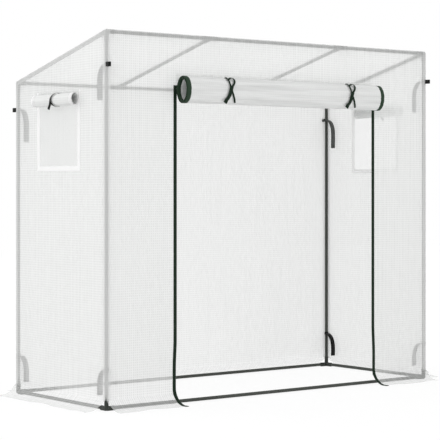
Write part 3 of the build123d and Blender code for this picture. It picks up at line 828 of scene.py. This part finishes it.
class Roll:
    """A flap wound up in front of its wall: it starts at the wall and winds down, forwards and up."""

    def __init__(self, wall, axis, radius, pitch, wound, half_width, seed):
        self.wall = wall
        self.axis_d = float((np.array(axis[:2]) - wall.base) @ wall.out)
        self.axis_z = axis[2]
        self.shift = float((np.array(axis[:2]) - wall.base) @ wall.along)
        self.start = radius - ROLLED_CLOTH / 2
        self.pressed = (1 - ROLL_FLATNESS) * self.start
        self.front = (2 * ROLL_FLATNESS - 1) * radius
        self.pitch = pitch
        self.wound = wound
        self.half_width = half_width
        self.seed = seed
        self.ties = ()
        self.angles = np.arange(0, (self.start - self.pressed) / pitch, 0.01) * TURN
        line = self.point(0 * self.angles, self.angles, self.start - pitch * self.angles / TURN)
        self.run = run_along(line)
        self.end = float(np.interp(wound, self.run, self.angles))

    def radius(self, u, angle):
        """Radius of the cloth, with creases along the roll and a nip under each tie."""
        plain = self.start - self.pitch * angle / TURN
        around = self.start * np.cos(angle), self.start * np.sin(angle)
        field = waves(0.05 * u + around[0], 0.02 * u + around[1], CREASE_LENGTH, self.seed)
        crease = np.exp(-((field / CREASE_WIDTH) ** 2)) + 0.35 * np.abs(field)
        depth = np.clip(1 - angle / self.end, 0.25, 1)
        nip = sum(np.exp(-(((u - tie) / NIP_WIDTH) ** 2)) for tie in self.ties)
        return plain - depth * (sizes().roll_crease * crease + NIP_DEPTH * nip)

    def point(self, u, angle, radius):
        """Points round the axis; the roll is pressed to the wall, and its wound cloth is as thick all round.
        """
        middle_d = self.axis_d - self.pressed
        d = middle_d - (radius - self.pressed) * np.cos(angle)
        z = self.axis_z - radius * np.sin(angle)
        return self.wall.point(u + self.shift, d, z)

    def cloth(self, name, half_width, last_half, finish):
        """The wound cloth, with its half widths between the bindings and in its last turn, past them."""

        def place(u, angle):
            u = u * (1 + (last_half / half_width - 1) * ease(angle - self.end + TURN))
            points = self.point(u, angle, self.radius(u, angle))
            return points, np.stack([u, np.interp(angle, self.angles, self.run)], 1)

        across = stations((-half_width, half_width, ROLL_STEP))
        turns = stations((0, OUTER_TURN, OUTER_STEP), (OUTER_TURN, self.end, INNER_STEP))
        return sheet_object(name, across, turns, place, finish)

    def bindings(self, name, width, thickness, finish):
        """Folded bindings along both edges of the wound cloth."""
        turns = np.linspace(0, self.end - TURN, int(self.end / INNER_STEP))
        strips = []
        for sign in SIDES.values():
            u = np.full_like(turns, sign * (self.half_width - width / 2))
            centres = self.point(u, turns, self.radius(u, turns))
            normals = centres - self.point(u, turns, 0 * turns)
            strips.append((centres, normals, width, thickness))
        return strip_object(name, strips, finish)

    def flap(self, name, half_width, finish, node):
        """The stretch of the flap between its seam and the roll."""
        low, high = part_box(node)
        out = self.wall.out_to(node)

        def place(u, v):
            return self.wall.point(u + self.shift, np.full_like(u, out), v), np.stack([u, v], 1)

        across = stations((-half_width, half_width, ROLL_STEP))
        made = sheet_object(name, across, stations((low.z, high.z, FLAP_STEP)), place, finish)
        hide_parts(node)
        return made


def tape_line(sign, across, v):
    """A line along a tape of the doorway, that far across from its middle, and the way the tape faces."""
    wall = WALLS["front"]
    out, height = skirt_profile(v)
    height = np.maximum(height, TAPE_THICK / 2)
    u = sign * (TAPE_X + across + FOOT_SHIFT * ease((FOOT_TOP - v) / FOOT_EASE))
    centres = wall.point(u, out, height)
    slope_out, slope_up = np.gradient(out, v), np.gradient(height, v)
    return centres, unit(wall.point(u, out + slope_up, height - slope_out) - centres)


# Where the ties cross the door's roll, how ribbons are sewn to a wall, and the spacing along a tape
DOOR_TIE_X = (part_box("door_ties")[1].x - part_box("door_ties")[0].x) / 2 - 34.5 * MM
TIE_SHIFT = 14 * MM
RIBBON_THICK = 1 * MM
SEWN_OUT = 4 * MM
TAPE_STEP = 30 * MM


def make_door():
    """The rolled-up door, its bindings and ties, and the tapes along the doorway."""
    wall = WALLS["front"]
    roll = Roll(wall, DOOR_AXIS, DOOR_RADIUS, DOOR_PITCH, DOOR_WOUND, DOOR_ROLL_X - DOOR_GAP, DOOR_SEED)
    roll.ties = [middle("door_ties").x + sign * DOOR_TIE_X + TIE_SHIFT for sign in SIDES.values()]
    low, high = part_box("door_flap")

    flap = roll.flap("door_flap_cloth", DOOR_ROLL_X, "door_polythene", "door_flap")
    width = DOOR_ROLL_X - DOOR_CLOTH_X
    z = stations((low.z, DOOR_TOP, FLAP_STEP))
    outwards = np.tile((0.0, -1.0, 0.0), (len(z), 1))
    hems = []
    for sign in SIDES.values():
        centres = wall.point(sign * (DOOR_ROLL_X - width / 2), wall.out_to("door_flap") + HEM_LIFT, z)
        hems.append((centres, outwards, width, HEM_THICK))
    hem = strip_object("door_flap_bindings", hems, "rolled_binding")
    for piece, held_at in ((flap, high.z - DOOR_SEAM), (hem, DOOR_TOP)):
        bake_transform(piece)

    last_half = DOOR_ROLL_X - DOOR_SETBACK
    cloth = roll.cloth("door_roll_cloth", DOOR_CLOTH_X + BINDING_LAP, last_half, "rolled_polythene")
    edges = roll.bindings("door_edge_bindings", width, sizes().binding, "rolled_binding")
    for piece, slot, node in ((cloth, "cover", "door_roll"), (edges, "tape", "door_roll_edges")):
        fit(piece, slot, node, body="door_roll")
        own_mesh(piece)

    strips = [strip for tie in roll.ties for strip in door_tie(roll, tie)]
    ties = strip_object("door_tie_ribbons", strips, "polyester_binding")
    fit(ties, "tape", "door_ties")
    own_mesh(ties)

    v = stations((HEM_V, BEND_Z, SKIRT_STEP), (BEND_Z, DOOR_TOP, TAPE_STEP))
    strips = [(*tape_line(sign, 0, v), TAPE_WIDTH, TAPE_THICK) for sign in SIDES.values()]
    fit(strip_object("door_tape_bindings", strips, "polyester_binding"), "tape", "door_tapes")


def on_roll(roll, u, angle, lift):
    """A knot of a ribbon's path on a roll: its place, then the way that its face looks."""
    around = np.array(u), np.array(math.pi + angle)
    place = roll.point(*around, np.array(roll.start + ROLLED_CLOTH / 2 + lift))
    return np.concatenate([place, unit(place - roll.point(*around, np.array(0.0)))])


def off_roll(roll, u, out, up, facing):
    """A knot of a ribbon's path clear of the roll, out and up from the roll's axis."""
    wall = roll.wall
    place = wall.point(np.array(u + roll.shift), np.array(roll.axis_d + out), np.array(roll.axis_z + up))
    return np.concatenate([place, wall.along * facing[0] + wall.out * facing[1], [facing[2]]])


def ribbon(roll, u, width, knots):
    """A ribbon along knots, each with its millimetres along the roll from u.

    On the roll follow the angle up from the roll's front and the lift off the cloth; clear of the roll,
    the distances out and up from the roll's axis and the way that the face looks.
    """
    rows = []
    for along, *rest in knots:
        knot = on_roll if len(rest) == 2 else off_roll
        rows.append(knot(roll, u + along * MM, *rest))
    path = smooth_path(rows)
    return path[:, :3], path[:, 3:], width, RIBBON_THICK


def door_tie(roll, u):
    """Crossed ribbons in front of the roll: a strand over it, a small loop and a wide tail."""
    reach = roll.start + ROLLED_CLOTH / 2
    lift = 1.2 * MM
    over = 2.8 * MM
    strand = [
        (22, SEWN_OUT - roll.axis_d, reach - 14 * MM, (0, 0, 1)),
        (16, 2.1, -lift),
        (8, 1.75, -lift),
        (-2, 1.42, 0),
        (-6, 1.08, lift),
        (-3, 0.67, lift),
        (0, 0.23, lift),
        (8, -0.1, lift),
        (19, -0.45, lift),
        (29, -0.75, lift),
        (36, -0.98, lift),
    ]
    loop = [
        (-6, 0.86, lift),
        (7, 1.04, over),
        (19, 1.14, over),
        (27, 1.06, over),
        (29, 0.87, over),
        (25, 0.65, over),
        (16, 0.44, over),
        (2, 0.23, over),
    ]
    tail = [
        (5, 0.32, over),
        (-2, 0.05, over),
        (-8, -0.28, over),
        (-14, -0.58, over),
        (-23, roll.front * 0.88, -43 * MM, (-0.1, 1, -0.2)),
        (-32, roll.front * 0.8, -57 * MM, (-0.2, 1, -0.1)),
    ]
    ribbons = ((9 * MM, strand), (10 * MM, loop), (19 * MM, tail))
    return [ribbon(roll, u, width, knots) for width, knots in ribbons]


def window_tie(roll):
    """A narrow ribbon that comes over the roll and goes on under it, with one tail from the knot in front."""
    reach = roll.start + ROLLED_CLOTH / 2
    lift = 1.0 * MM
    over = 2.2 * MM
    loop = [
        (30, SEWN_OUT - roll.axis_d, reach - 6 * MM, (0, 0, 1)),
        (27, QUARTER - 0.1, lift),
        (15, QUARTER - 0.6, lift),
        (4, 0.5, lift),
        (0, 0, lift),
        (1, -0.3, lift),
        (7, -0.7, lift),
        (17, 0.35 - QUARTER, lift),
        (27, -QUARTER, lift),
        (31, -0.4 - QUARTER, lift),
    ]
    tail = [
        (2, 0.1, over),
        (-1, -0.3, over),
        (-6, roll.front * 0.97, -22 * MM, (0.2, 1, 0)),
        (-13, roll.front * 0.94, -33 * MM, (0.3, 1, 0)),
        (-19, roll.front * 0.9, -43 * MM, (0.3, 1, 0)),
    ]
    return [ribbon(roll, 0, 10 * MM, loop), ribbon(roll, 0, 13 * MM, tail)]


# Repeats made with geometry nodes


def new_tree(name, *lengths):
    """A geometry tree with named lengths and a finish; returns it with its inputs."""
    tree = bpy.data.node_groups.new(name, "GeometryNodeTree")
    kinds = {"Geometry": "Geometry", **dict.fromkeys(lengths, "Float"), "Finish": "Material"}
    for label, kind in kinds.items():
        tree.interface.new_socket(name=label, in_out="INPUT", socket_type="NodeSocket" + kind)
    tree.interface.new_socket(name="Geometry", in_out="OUTPUT", socket_type="NodeSocketGeometry")
    return tree, add(tree, "NodeGroupInput").outputs


def finish_tree(tree, geometry, finish):
    """Ends a tree in plain geometry with its material."""
    plain = add(tree, "GeometryNodeRealizeInstances", {"Geometry": geometry})
    painted = add(tree, "GeometryNodeSetMaterial", {"Geometry": plain, "Material": finish})
    add(tree, "NodeGroupOutput", (painted,))
    return tree


def stitch_tree():
    """Stitches laid end to end along the edges of a mesh."""
    tree, given = new_tree("stitches", "Stitch", "Gap", "Thread")
    step = add(tree, "ShaderNodeMath", (given["Stitch"], given["Gap"]), operation="ADD")
    line = add(tree, "GeometryNodeMeshToCurve", {"Mesh": given["Geometry"]})
    spots = add(tree, "GeometryNodeResampleCurve", {"Curve": line, "Length": step}, mode="LENGTH")
    ahead = add(tree, "GeometryNodeInputTangent")
    turn = add(tree, "FunctionNodeAlignRotationToVector", {"Vector": ahead}, axis="X")
    half = add(tree, "ShaderNodeMath", (given["Stitch"], 0.5), operation="MULTIPLY")
    thin = add(tree, "ShaderNodeMath", (given["Thread"], 0.5), operation="MULTIPLY")
    size = add(tree, "ShaderNodeCombineXYZ", (half, thin, thin))
    bead = add(tree, "GeometryNodeMeshIcoSphere", {"Radius": 1.0, "Subdivisions": 1})
    row = {"Points": spots, "Instance": bead, "Rotation": turn, "Scale": size}
    laid = add(tree, "GeometryNodeInstanceOnPoints", row)
    return finish_tree(tree, laid, given["Finish"])


def net_tree():
    """A flat net of straight threads in X and Z, one set in front of the other."""
    tree, given = new_tree("net", "Width", "Height", "Pitch", "Thread")
    thin = add(tree, "ShaderNodeMath", (given["Thread"], 0.5), operation="MULTIPLY")
    section = add(tree, "GeometryNodeCurvePrimitiveCircle", {"Resolution": 4, "Radius": thin})
    net = add(tree, "GeometryNodeJoinGeometry")
    for across, along, axes, front in (("Width", "Height", "XZ", 0.35), ("Height", "Width", "ZX", -0.35)):
        shares = ((across, -0.5), (along, -0.5), (along, 0.5), ("Thread", front))
        first, low, high, depth = (
            add(tree, "ShaderNodeMath", (given[name], share), operation="MULTIPLY") for name, share in shares
        )
        row = {
            "Count": add(tree, "ShaderNodeMath", (given[across], given["Pitch"]), operation="DIVIDE"),
            "Start Location": add(tree, "ShaderNodeCombineXYZ", {axes[0]: first, "Y": depth}),
            "Offset": add(tree, "ShaderNodeCombineXYZ", {axes[0]: given["Pitch"]}),
        }
        spots = add(tree, "GeometryNodeMeshLine", row)
        ends = {
            "Start": add(tree, "ShaderNodeCombineXYZ", {axes[1]: low}),
            "End": add(tree, "ShaderNodeCombineXYZ", {axes[1]: high}),
        }
        thread = add(tree, "GeometryNodeCurvePrimitiveLine", ends)
        laid = add(tree, "GeometryNodeInstanceOnPoints", {"Points": spots, "Instance": thread})
        lines = add(tree, "GeometryNodeRealizeInstances", {"Geometry": laid})
        tubes = {"Curve": lines, "Profile Curve": section, "Fill Caps": True}
        tree.links.new(add(tree, "GeometryNodeCurveToMesh", tubes).outputs[0], net.inputs[0])
    return finish_tree(tree, net, given["Finish"])


def grown(name, start, tree, values):
    """The plain mesh that a tree makes from a starting mesh."""
    seed = place_object(name + "_start", start)
    modifier = seed.modifiers.new("grow", "NODES")
    modifier.node_group = tree
    for item in tree.interface.items_tree:
        if item.in_out == "INPUT" and item.name in values:
            modifier[item.identifier] = values[item.name]
    evaluated = seed.evaluated_get(bpy.context.evaluated_depsgraph_get())
    mesh = bpy.data.meshes.new_from_object(evaluated)
    bpy.data.objects.remove(seed)
    mesh.name = name
    return mesh


def stitched(name, lines, thread, slot):
    """Rows of stitches along lines of points."""
    points, edges = [], []
    for line in lines:
        edges += [(len(points) + i, len(points) + i + 1) for i in range(len(line) - 1)]
        points += line.tolist()
    start = bpy.data.meshes.new(name + "_lines")
    start.from_pydata(points, edges, [])
    tree = bpy.data.node_groups.get("stitches") or stitch_tree()
    s = sizes()
    values = {"Stitch": s.stitch, "Gap": s.stitch_gap, "Thread": s.stitch_thread, "Finish": finish_of(thread)}
    mesh = grown(name, start, tree, values)
    mesh.shade_smooth()
    fit(place_object(name, mesh), slot)


# Windows


def border_object(name, wall, out):
    """A flat ring of strip round a window, with softened edges that bend back to the wall."""
    rise = BORDER_THICK / 2
    edge = [(0, -rise), (0, rise - BORDER_SOFT), (BORDER_SOFT, rise)]
    profile = edge + [(BORDER_WIDTH - inset, height) for inset, height in edge[::-1]]
    half_u = WINDOW_HALF + BORDER_WIDTH
    half_v = (WINDOW_HIGH - WINDOW_LOW) / 2 + BORDER_WIDTH
    centre = (WINDOW_HIGH + WINDOW_LOW) / 2
    points, faces = [], []
    for inset, height in profile:
        for su, sv in SQUARE:
            u = np.array(su * (half_u - inset))
            points.append(wall.point(u, out + height, centre + sv * (half_v - inset)).tolist())
    for first in range(0, 4 * len(profile) - 4, 4):
        for c in range(4):
            d = (c + 1) % 4
            faces.append((first + c, first + d, first + 4 + d, first + 4 + c))
    mesh = bpy.data.meshes.new(name)
    mesh.from_pydata(points, [], faces)
    shape = bmesh.new()
    shape.from_mesh(mesh)
    bmesh.ops.recalc_face_normals(shape, faces=shape.faces)
    shape.to_mesh(mesh)
    shape.free()
    return place_object(name, mesh, "hook_and_loop")


def window_pane(side):
    """The net in a side wall, and the strip round it."""
    border = border_object(f"{side}_window_strip", WALLS[side], WALLS[side].out_to(f"{side}_window_border"))
    fit(border, "border", f"{side}_window_border")

    low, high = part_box(f"{side}_window_net")
    values = {
        "Width": high.y - low.y,
        "Height": high.z - low.z,
        "Pitch": sizes().net_pitch,
        "Thread": sizes().net_thread,
        "Finish": finish_of("insect_net"),
    }
    net = bpy.data.node_groups.get("net") or net_tree()
    mesh = grown(f"{side}_window_mesh", bpy.data.meshes.new("net_start"), net, values)
    mesh.transform(Matrix.Translation((low + high) / 2) @ Matrix.Rotation(QUARTER, 4, "Z"))
    fit(place_object(f"{side}_window_mesh", mesh), "net", f"{side}_window_net")


def window_flap(side, sign):
    """The flap of a side window, rolled up above it and tied."""
    body = f"{side}_window_flap"
    axis = joint(f"{side}_window_unroll")["pos_m"]
    roll = Roll(WALLS[side], axis, WINDOW_RADIUS, WINDOW_PITCH, WINDOW_WOUND, WINDOW_ROLL_HALF, WINDOW_SEED)
    roll.ties = (0.0,)
    place = middle(body)

    flap = roll.flap(f"{side}_window_flap_cloth", roll.half_width, "window_polythene", body)
    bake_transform(flap)

    inner_half = roll.half_width - WINDOW_BINDING + BINDING_LAP
    name = f"{side}_window_roll"
    cloth = roll.cloth(f"{name}_cloth", inner_half, roll.half_width, "window_rolled_polythene")
    edges = roll.bindings(
        f"{side}_window_edge_bindings", WINDOW_BINDING, WINDOW_BINDING_THICK, "hook_and_loop"
    )
    fit(cloth, "cover", name, body=name)
    fit(edges, "border", body=name)
    tie = strip_object(f"{side}_window_tie_ribbon", window_tie(roll), "narrow_ribbon")
    fit(tie, "cord_tie", f"{side}_window_tie")
    outer_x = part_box(name)[1 if sign > 0 else 0].x
    pressed = ((cloth, outer_x, ROLL_KEPT), (edges, outer_x, ROLL_KEPT), (tie, place.x, TIE_KEPT))
    for piece, x, kept in pressed:
        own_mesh(piece)


def make_windows():
    """A netted window in each side wall, with its border, and its flap rolled up above it."""
    for side, sign in SIDES.items():
        window_flap(side, sign)
        window_pane(side)


# Ties and loops

POST_RADIUS = 8 * MM
TIE_THICK = 1.5 * MM
TIE_WIDTH = 29 * MM
TIE_GAP = 0.2 * MM
BAND_HEIGHT = 16 * MM
BAND_TURN = 1.12 * TURN
TIE_RUN = 2 * MM
TIE_BEND = 50 * MM
TIE_FALL = 78 * MM
TIE_SWAY = 1.5 * MM
STUB = 22 * MM
STUB_SAG = 6 * MM
STUB_HEIGHT = 12 * MM
LOWER_TIE_Z = 180 * MM
UPPER_TAIL = 155 * MM
LOWER_TAIL = 118 * MM
LOOP_WIDTH = 20 * MM
LOOP_HALF = 6 * MM
LOOP_THICK = 2 * MM
LOOP_SEWN = 3 * MM
LOOP_PINCH = 0.6
FRONT_TIE_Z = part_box("corner_loops")[1].z - LOOP_WIDTH / 2
BACK_TIE_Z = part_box("corner_loops")[0].z + LOOP_WIDTH / 2
LOOP_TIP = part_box("corner_loops")[1].y - LOOP_THICK / 2


def post_tie(x, y, z, tail, with_stub):
    """A ribbon round a post, whose tail arches over beside the side wall and hangs down."""
    inwards = 1 if y < MIDDLE_Y else -1
    side = 1 if x > 0 else -1
    radius = POST_RADIUS + TIE_THICK / 2 + TIE_GAP
    angles = np.linspace(0, BAND_TURN, 40)
    grow = TIE_THICK * angles / TURN
    round_post = np.stack([np.cos(angles), np.sin(angles), 0 * angles], 1)
    band = round_post * (radius + grow)[:, None] + (x, y, z)
    start = radius + TIE_THICK / 2
    far = start + TIE_RUN
    arch = np.linspace(0, QUARTER, 10)[1:]
    hung = np.linspace(TIE_FALL, tail, 7)[1:]
    end = far + TIE_BEND + 1 * MM
    run = np.concatenate([[start * 0.4, start, far], far + TIE_BEND * np.sin(arch), end + 0 * hung])
    drop = np.concatenate([[0, 0, 0], TIE_FALL * (1 - np.cos(arch)), hung])
    sway = TIE_SWAY * np.sin(np.linspace(0, 5, len(run))) * np.linspace(0, 1, len(run))
    middle_x = x + side * (POST_RADIUS - TIE_WIDTH / 2)
    hang = np.stack([middle_x + 0 * run, y + inwards * (run + sway), z - drop], 1)
    facing = np.cross(np.gradient(hang, axis=0), (1, 0, 0))
    strips = [(band, round_post, BAND_HEIGHT, TIE_THICK), (hang, facing, TIE_WIDTH, TIE_THICK)]
    if with_stub:
        stub_run = np.linspace(radius, radius + STUB, 6)
        sag = STUB_SAG * ((stub_run - radius) / STUB) ** 2
        stub = np.stack([x - side * stub_run, y + 0 * stub_run, z - sag], 1)
        upright = np.tile((0.0, 1.0, 0.0), (len(stub), 1))
        strips.append((stub, upright, STUB_HEIGHT, TIE_THICK))
    return strips


def corner_loop(side, end, z):
    """A loop of folded webbing, sewn upright into a corner seam and standing out past the side wall."""
    tip_y = LOOP_TIP - MIDDLE_Y - LOOP_HALF
    bend = np.linspace(-QUARTER, QUARTER, 14)
    leg = np.linspace(SHORT_HALF - LOOP_SEWN, tip_y, 5)[:-1]
    pinch = np.linspace(LOOP_PINCH, 1, 5)[:-1]
    reach = np.concatenate([leg, tip_y + LOOP_HALF * np.cos(bend), leg[::-1]])
    across = LOOP_HALF * np.concatenate([-pinch, np.sin(bend), pinch[::-1]])
    middle_x = side * (LONG_HALF - LOOP_HALF)
    path = np.stack([middle_x + side * across, MIDDLE_Y + end * reach, z + 0 * reach], 1)
    facing = np.cross(np.gradient(path, axis=0), (0, 0, 1))
    return path, facing, LOOP_WIDTH, LOOP_THICK


def make_ties():
    """Ribbon ties on the posts, and webbing loops outside the corners."""
    ties, loops = [], []
    for end, y, head in ((-1, FRONT_Y, FRONT_TIE_Z), (1, BACK_Y, BACK_TIE_Z)):
        for side in SIDES.values():
            ties += post_tie(side * POST_X, y, head, UPPER_TAIL, end > 0)
            ties += post_tie(side * POST_X, y, LOWER_TIE_Z, LOWER_TAIL, False)
            loops.append(corner_loop(side, end, head))
    ribbons = strip_object("post_tie_ribbons", ties, "polypropylene_webbing")
    # Painted light: the upper ties' faces take the paler webbing, where they catch more light than the lower
    # ties
    ribbons.data.materials.append(finish_of("faded_webbing"))
    for face in ribbons.data.polygons:
        face.material_index = int(face.center.z > BACK_TIE_Z / 2)
    fit(ribbons, "webbing", "post_ties")
    fit(strip_object("corner_webbing", loops, "polypropylene_webbing"), "webbing", "corner_loops")


# Stitching: how far the rows lie from an edge, and how far their threads stand out

STITCH_INSET = 3 * MM
TAPE_STITCH_OUT = 0.1 * MM
BORDER_STITCH_OUT = 0.7 * MM
SEAM_STITCH_OUT = 0.4 * MM
SEAM_ROWS = (2.5 * MM, 6.5 * MM)
STITCH_END = 4 * MM


def make_stitching():
    """Stitches along the doorway's tapes, the windows' borders and the flaps' seams."""
    v = stations((HEM_V + STITCH_INSET, BEND_Z, SKIRT_STEP), (BEND_Z, DOOR_TOP - STITCH_END, TAPE_STEP))
    lines = []
    for sign in SIDES.values():
        for across in (STITCH_INSET - TAPE_WIDTH / 2, TAPE_WIDTH / 2 - STITCH_INSET):
            centres, normals = tape_line(sign, across, v)
            lines.append(centres + normals * (TAPE_THICK / 2 + TAPE_STITCH_OUT))
    stitched("door_tape_stitches", lines, "green_thread", "tape")

    lines = []
    for side in SIDES:
        face = WALLS[side].out_to(f"{side}_window_border") + BORDER_STITCH_OUT
        for inset in (STITCH_INSET, BORDER_WIDTH - STITCH_INSET):
            half_u = WINDOW_HALF + BORDER_WIDTH - inset
            low, high = BORDER_LOW.z + inset, BORDER_HIGH.z - inset
            u = np.array([-half_u, half_u, half_u, -half_u, -half_u])
            lines.append(WALLS[side].point(u, face, np.array([low, low, high, high, low])))
    stitched("window_border_stitches", lines, "white_thread", "border")

    lines = []
    for name, node in (("front", "door_flap"), ("left", "left_window_flap"), ("right", "right_window_flap")):
        half = (DOOR_ROLL_X if name == "front" else WINDOW_ROLL_HALF) - STITCH_END
        face = WALLS[name].out_to(node) + SEAM_STITCH_OUT
        for drop in SEAM_ROWS:
            lines.append(WALLS[name].point(np.array([-half, half]), face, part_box(node)[1].z - drop))
    stitched("flap_seam_stitches", lines, "white_thread", "cover")


def make_frame():
    """Finishes of the tubes and fittings."""
    for name, node in frame["nodes"].items():
        if name.endswith(TUBES):
            finish = "powder_coated_steel"
        elif name.endswith(FITTINGS):
            finish = "moulded_polypropylene"
        else:
            continue
        node.data.materials.clear()
        node.data.materials.append(finish_of(finish))


# Stage

FLOOR_HALF = 14.0
FLOOR_DROP = 0.5 * MM
SKY_STRENGTH = 1.07
KEY_STRENGTH = 0.75
KEY_SPREAD = math.radians(60)
KEY_TURN = (math.radians(58), 0, math.radians(-138))
CAMERA_PLACE = (-4.9875, -6.3164, 0.9877)
CAMERA_TURN = (QUARTER, 0, -math.radians(37.92))
CAMERA_LENS = 133.2
CAMERA_SHIFT = -0.07644
CAMERA_REACH = 100


def make_stage():
    """White floor and surroundings, soft light, and the camera."""
    scene = bpy.context.scene
    mesh = bpy.data.meshes.new("floor")
    mesh.from_pydata([(x * FLOOR_HALF, y * FLOOR_HALF, -FLOOR_DROP) for x, y in SQUARE], [], [(0, 1, 2, 3)])
    place_object("floor", mesh, "studio_floor")

    scene.world = bpy.data.worlds.new("studio")
    scene.world.use_nodes = True
    tree = scene.world.node_tree
    tree.nodes.clear()
    soft = add(tree, "ShaderNodeBackground", {"Color": (1, 1, 1, 1), "Strength": SKY_STRENGTH})
    white = add(tree, "ShaderNodeBackground", {"Color": (1, 1, 1, 1), "Strength": 1.0})
    both = add(tree, "ShaderNodeMixShader", (shown_rays(tree), soft, white))
    add(tree, "ShaderNodeOutputWorld", {"Surface": both})

    lamp = bpy.data.lights.new("key", "SUN")
    lamp.energy = KEY_STRENGTH
    lamp.angle = KEY_SPREAD
    place_object("key", lamp).rotation_euler = KEY_TURN

    lens = bpy.data.cameras.new("camera")
    lens.lens = CAMERA_LENS
    lens.shift_y = CAMERA_SHIFT
    lens.clip_end = CAMERA_REACH
    scene.camera = place_object("camera", lens)
    scene.camera.location = CAMERA_PLACE
    scene.camera.rotation_euler = CAMERA_TURN
    scene.view_settings.view_transform = "Standard"


class GREENHOUSE_OT_frame(bpy.types.Operator):
    """Finish the tubes and fittings"""

    bl_idname = "greenhouse.frame"
    bl_label = "Frame"

    def execute(self, context):
        make_frame()
        return {"FINISHED"}


class GREENHOUSE_OT_cover(bpy.types.Operator):
    """Hang the cover's walls, skirts and roof"""

    bl_idname = "greenhouse.cover"
    bl_label = "Cover"

    def execute(self, context):
        make_cover()
        return {"FINISHED"}


class GREENHOUSE_OT_door(bpy.types.Operator):
    """Roll up the door, with its bindings, ties and tapes"""

    bl_idname = "greenhouse.door"
    bl_label = "Door"

    def execute(self, context):
        make_door()
        return {"FINISHED"}


class GREENHOUSE_OT_windows(bpy.types.Operator):
    """Set the nets, borders and rolled flaps of the windows"""

    bl_idname = "greenhouse.windows"
    bl_label = "Windows"

    def execute(self, context):
        make_windows()
        return {"FINISHED"}


class GREENHOUSE_OT_ties(bpy.types.Operator):
    """Tie the ribbons to the posts and sew on the corner loops"""

    bl_idname = "greenhouse.ties"
    bl_label = "Ties and Loops"

    def execute(self, context):
        make_ties()
        return {"FINISHED"}


class GREENHOUSE_OT_stitching(bpy.types.Operator):
    """Sew the stitches of tapes, borders and seams"""

    bl_idname = "greenhouse.stitching"
    bl_label = "Stitching"

    def execute(self, context):
        make_stitching()
        return {"FINISHED"}


class GREENHOUSE_OT_stage(bpy.types.Operator):
    """Set up the floor, light and camera"""

    bl_idname = "greenhouse.stage"
    bl_label = "Stage"

    def execute(self, context):
        make_stage()
        return {"FINISHED"}


OPERATORS = (
    GREENHOUSE_OT_frame,
    GREENHOUSE_OT_cover,
    GREENHOUSE_OT_door,
    GREENHOUSE_OT_windows,
    GREENHOUSE_OT_ties,
    GREENHOUSE_OT_stitching,
    GREENHOUSE_OT_stage,
)


class GREENHOUSE_PT_sidebar(bpy.types.Panel):
    """Sizes, colours and steps of the greenhouse"""

    bl_idname = "GREENHOUSE_PT_sidebar"
    bl_label = "Greenhouse"
    bl_space_type = "VIEW_3D"
    bl_region_type = "UI"
    bl_category = "Greenhouse"

    def draw(self, context):
        for group in (context.scene.greenhouse_sizes, context.scene.greenhouse_colours):
            box = self.layout.box()
            for name in group.__annotations__:
                box.prop(group, name)
        for operator in OPERATORS:
            self.layout.operator(operator.bl_idname)


CLASSES = (GreenhouseSizes, GreenhouseColours, *OPERATORS, GREENHOUSE_PT_sidebar)


def register():
    for cls in CLASSES:
        bpy.utils.register_class(cls)
    bpy.types.Scene.greenhouse_sizes = bpy.props.PointerProperty(type=GreenhouseSizes)
    bpy.types.Scene.greenhouse_colours = bpy.props.PointerProperty(type=GreenhouseColours)


def unregister():
    del bpy.types.Scene.greenhouse_colours
    del bpy.types.Scene.greenhouse_sizes
    for cls in reversed(CLASSES):
        bpy.utils.unregister_class(cls)


def main():
    register()
    for operator in OPERATORS:
        getattr(bpy.ops.greenhouse, operator.bl_idname.split(".")[1])()


if __name__ == "__main__":
    main()
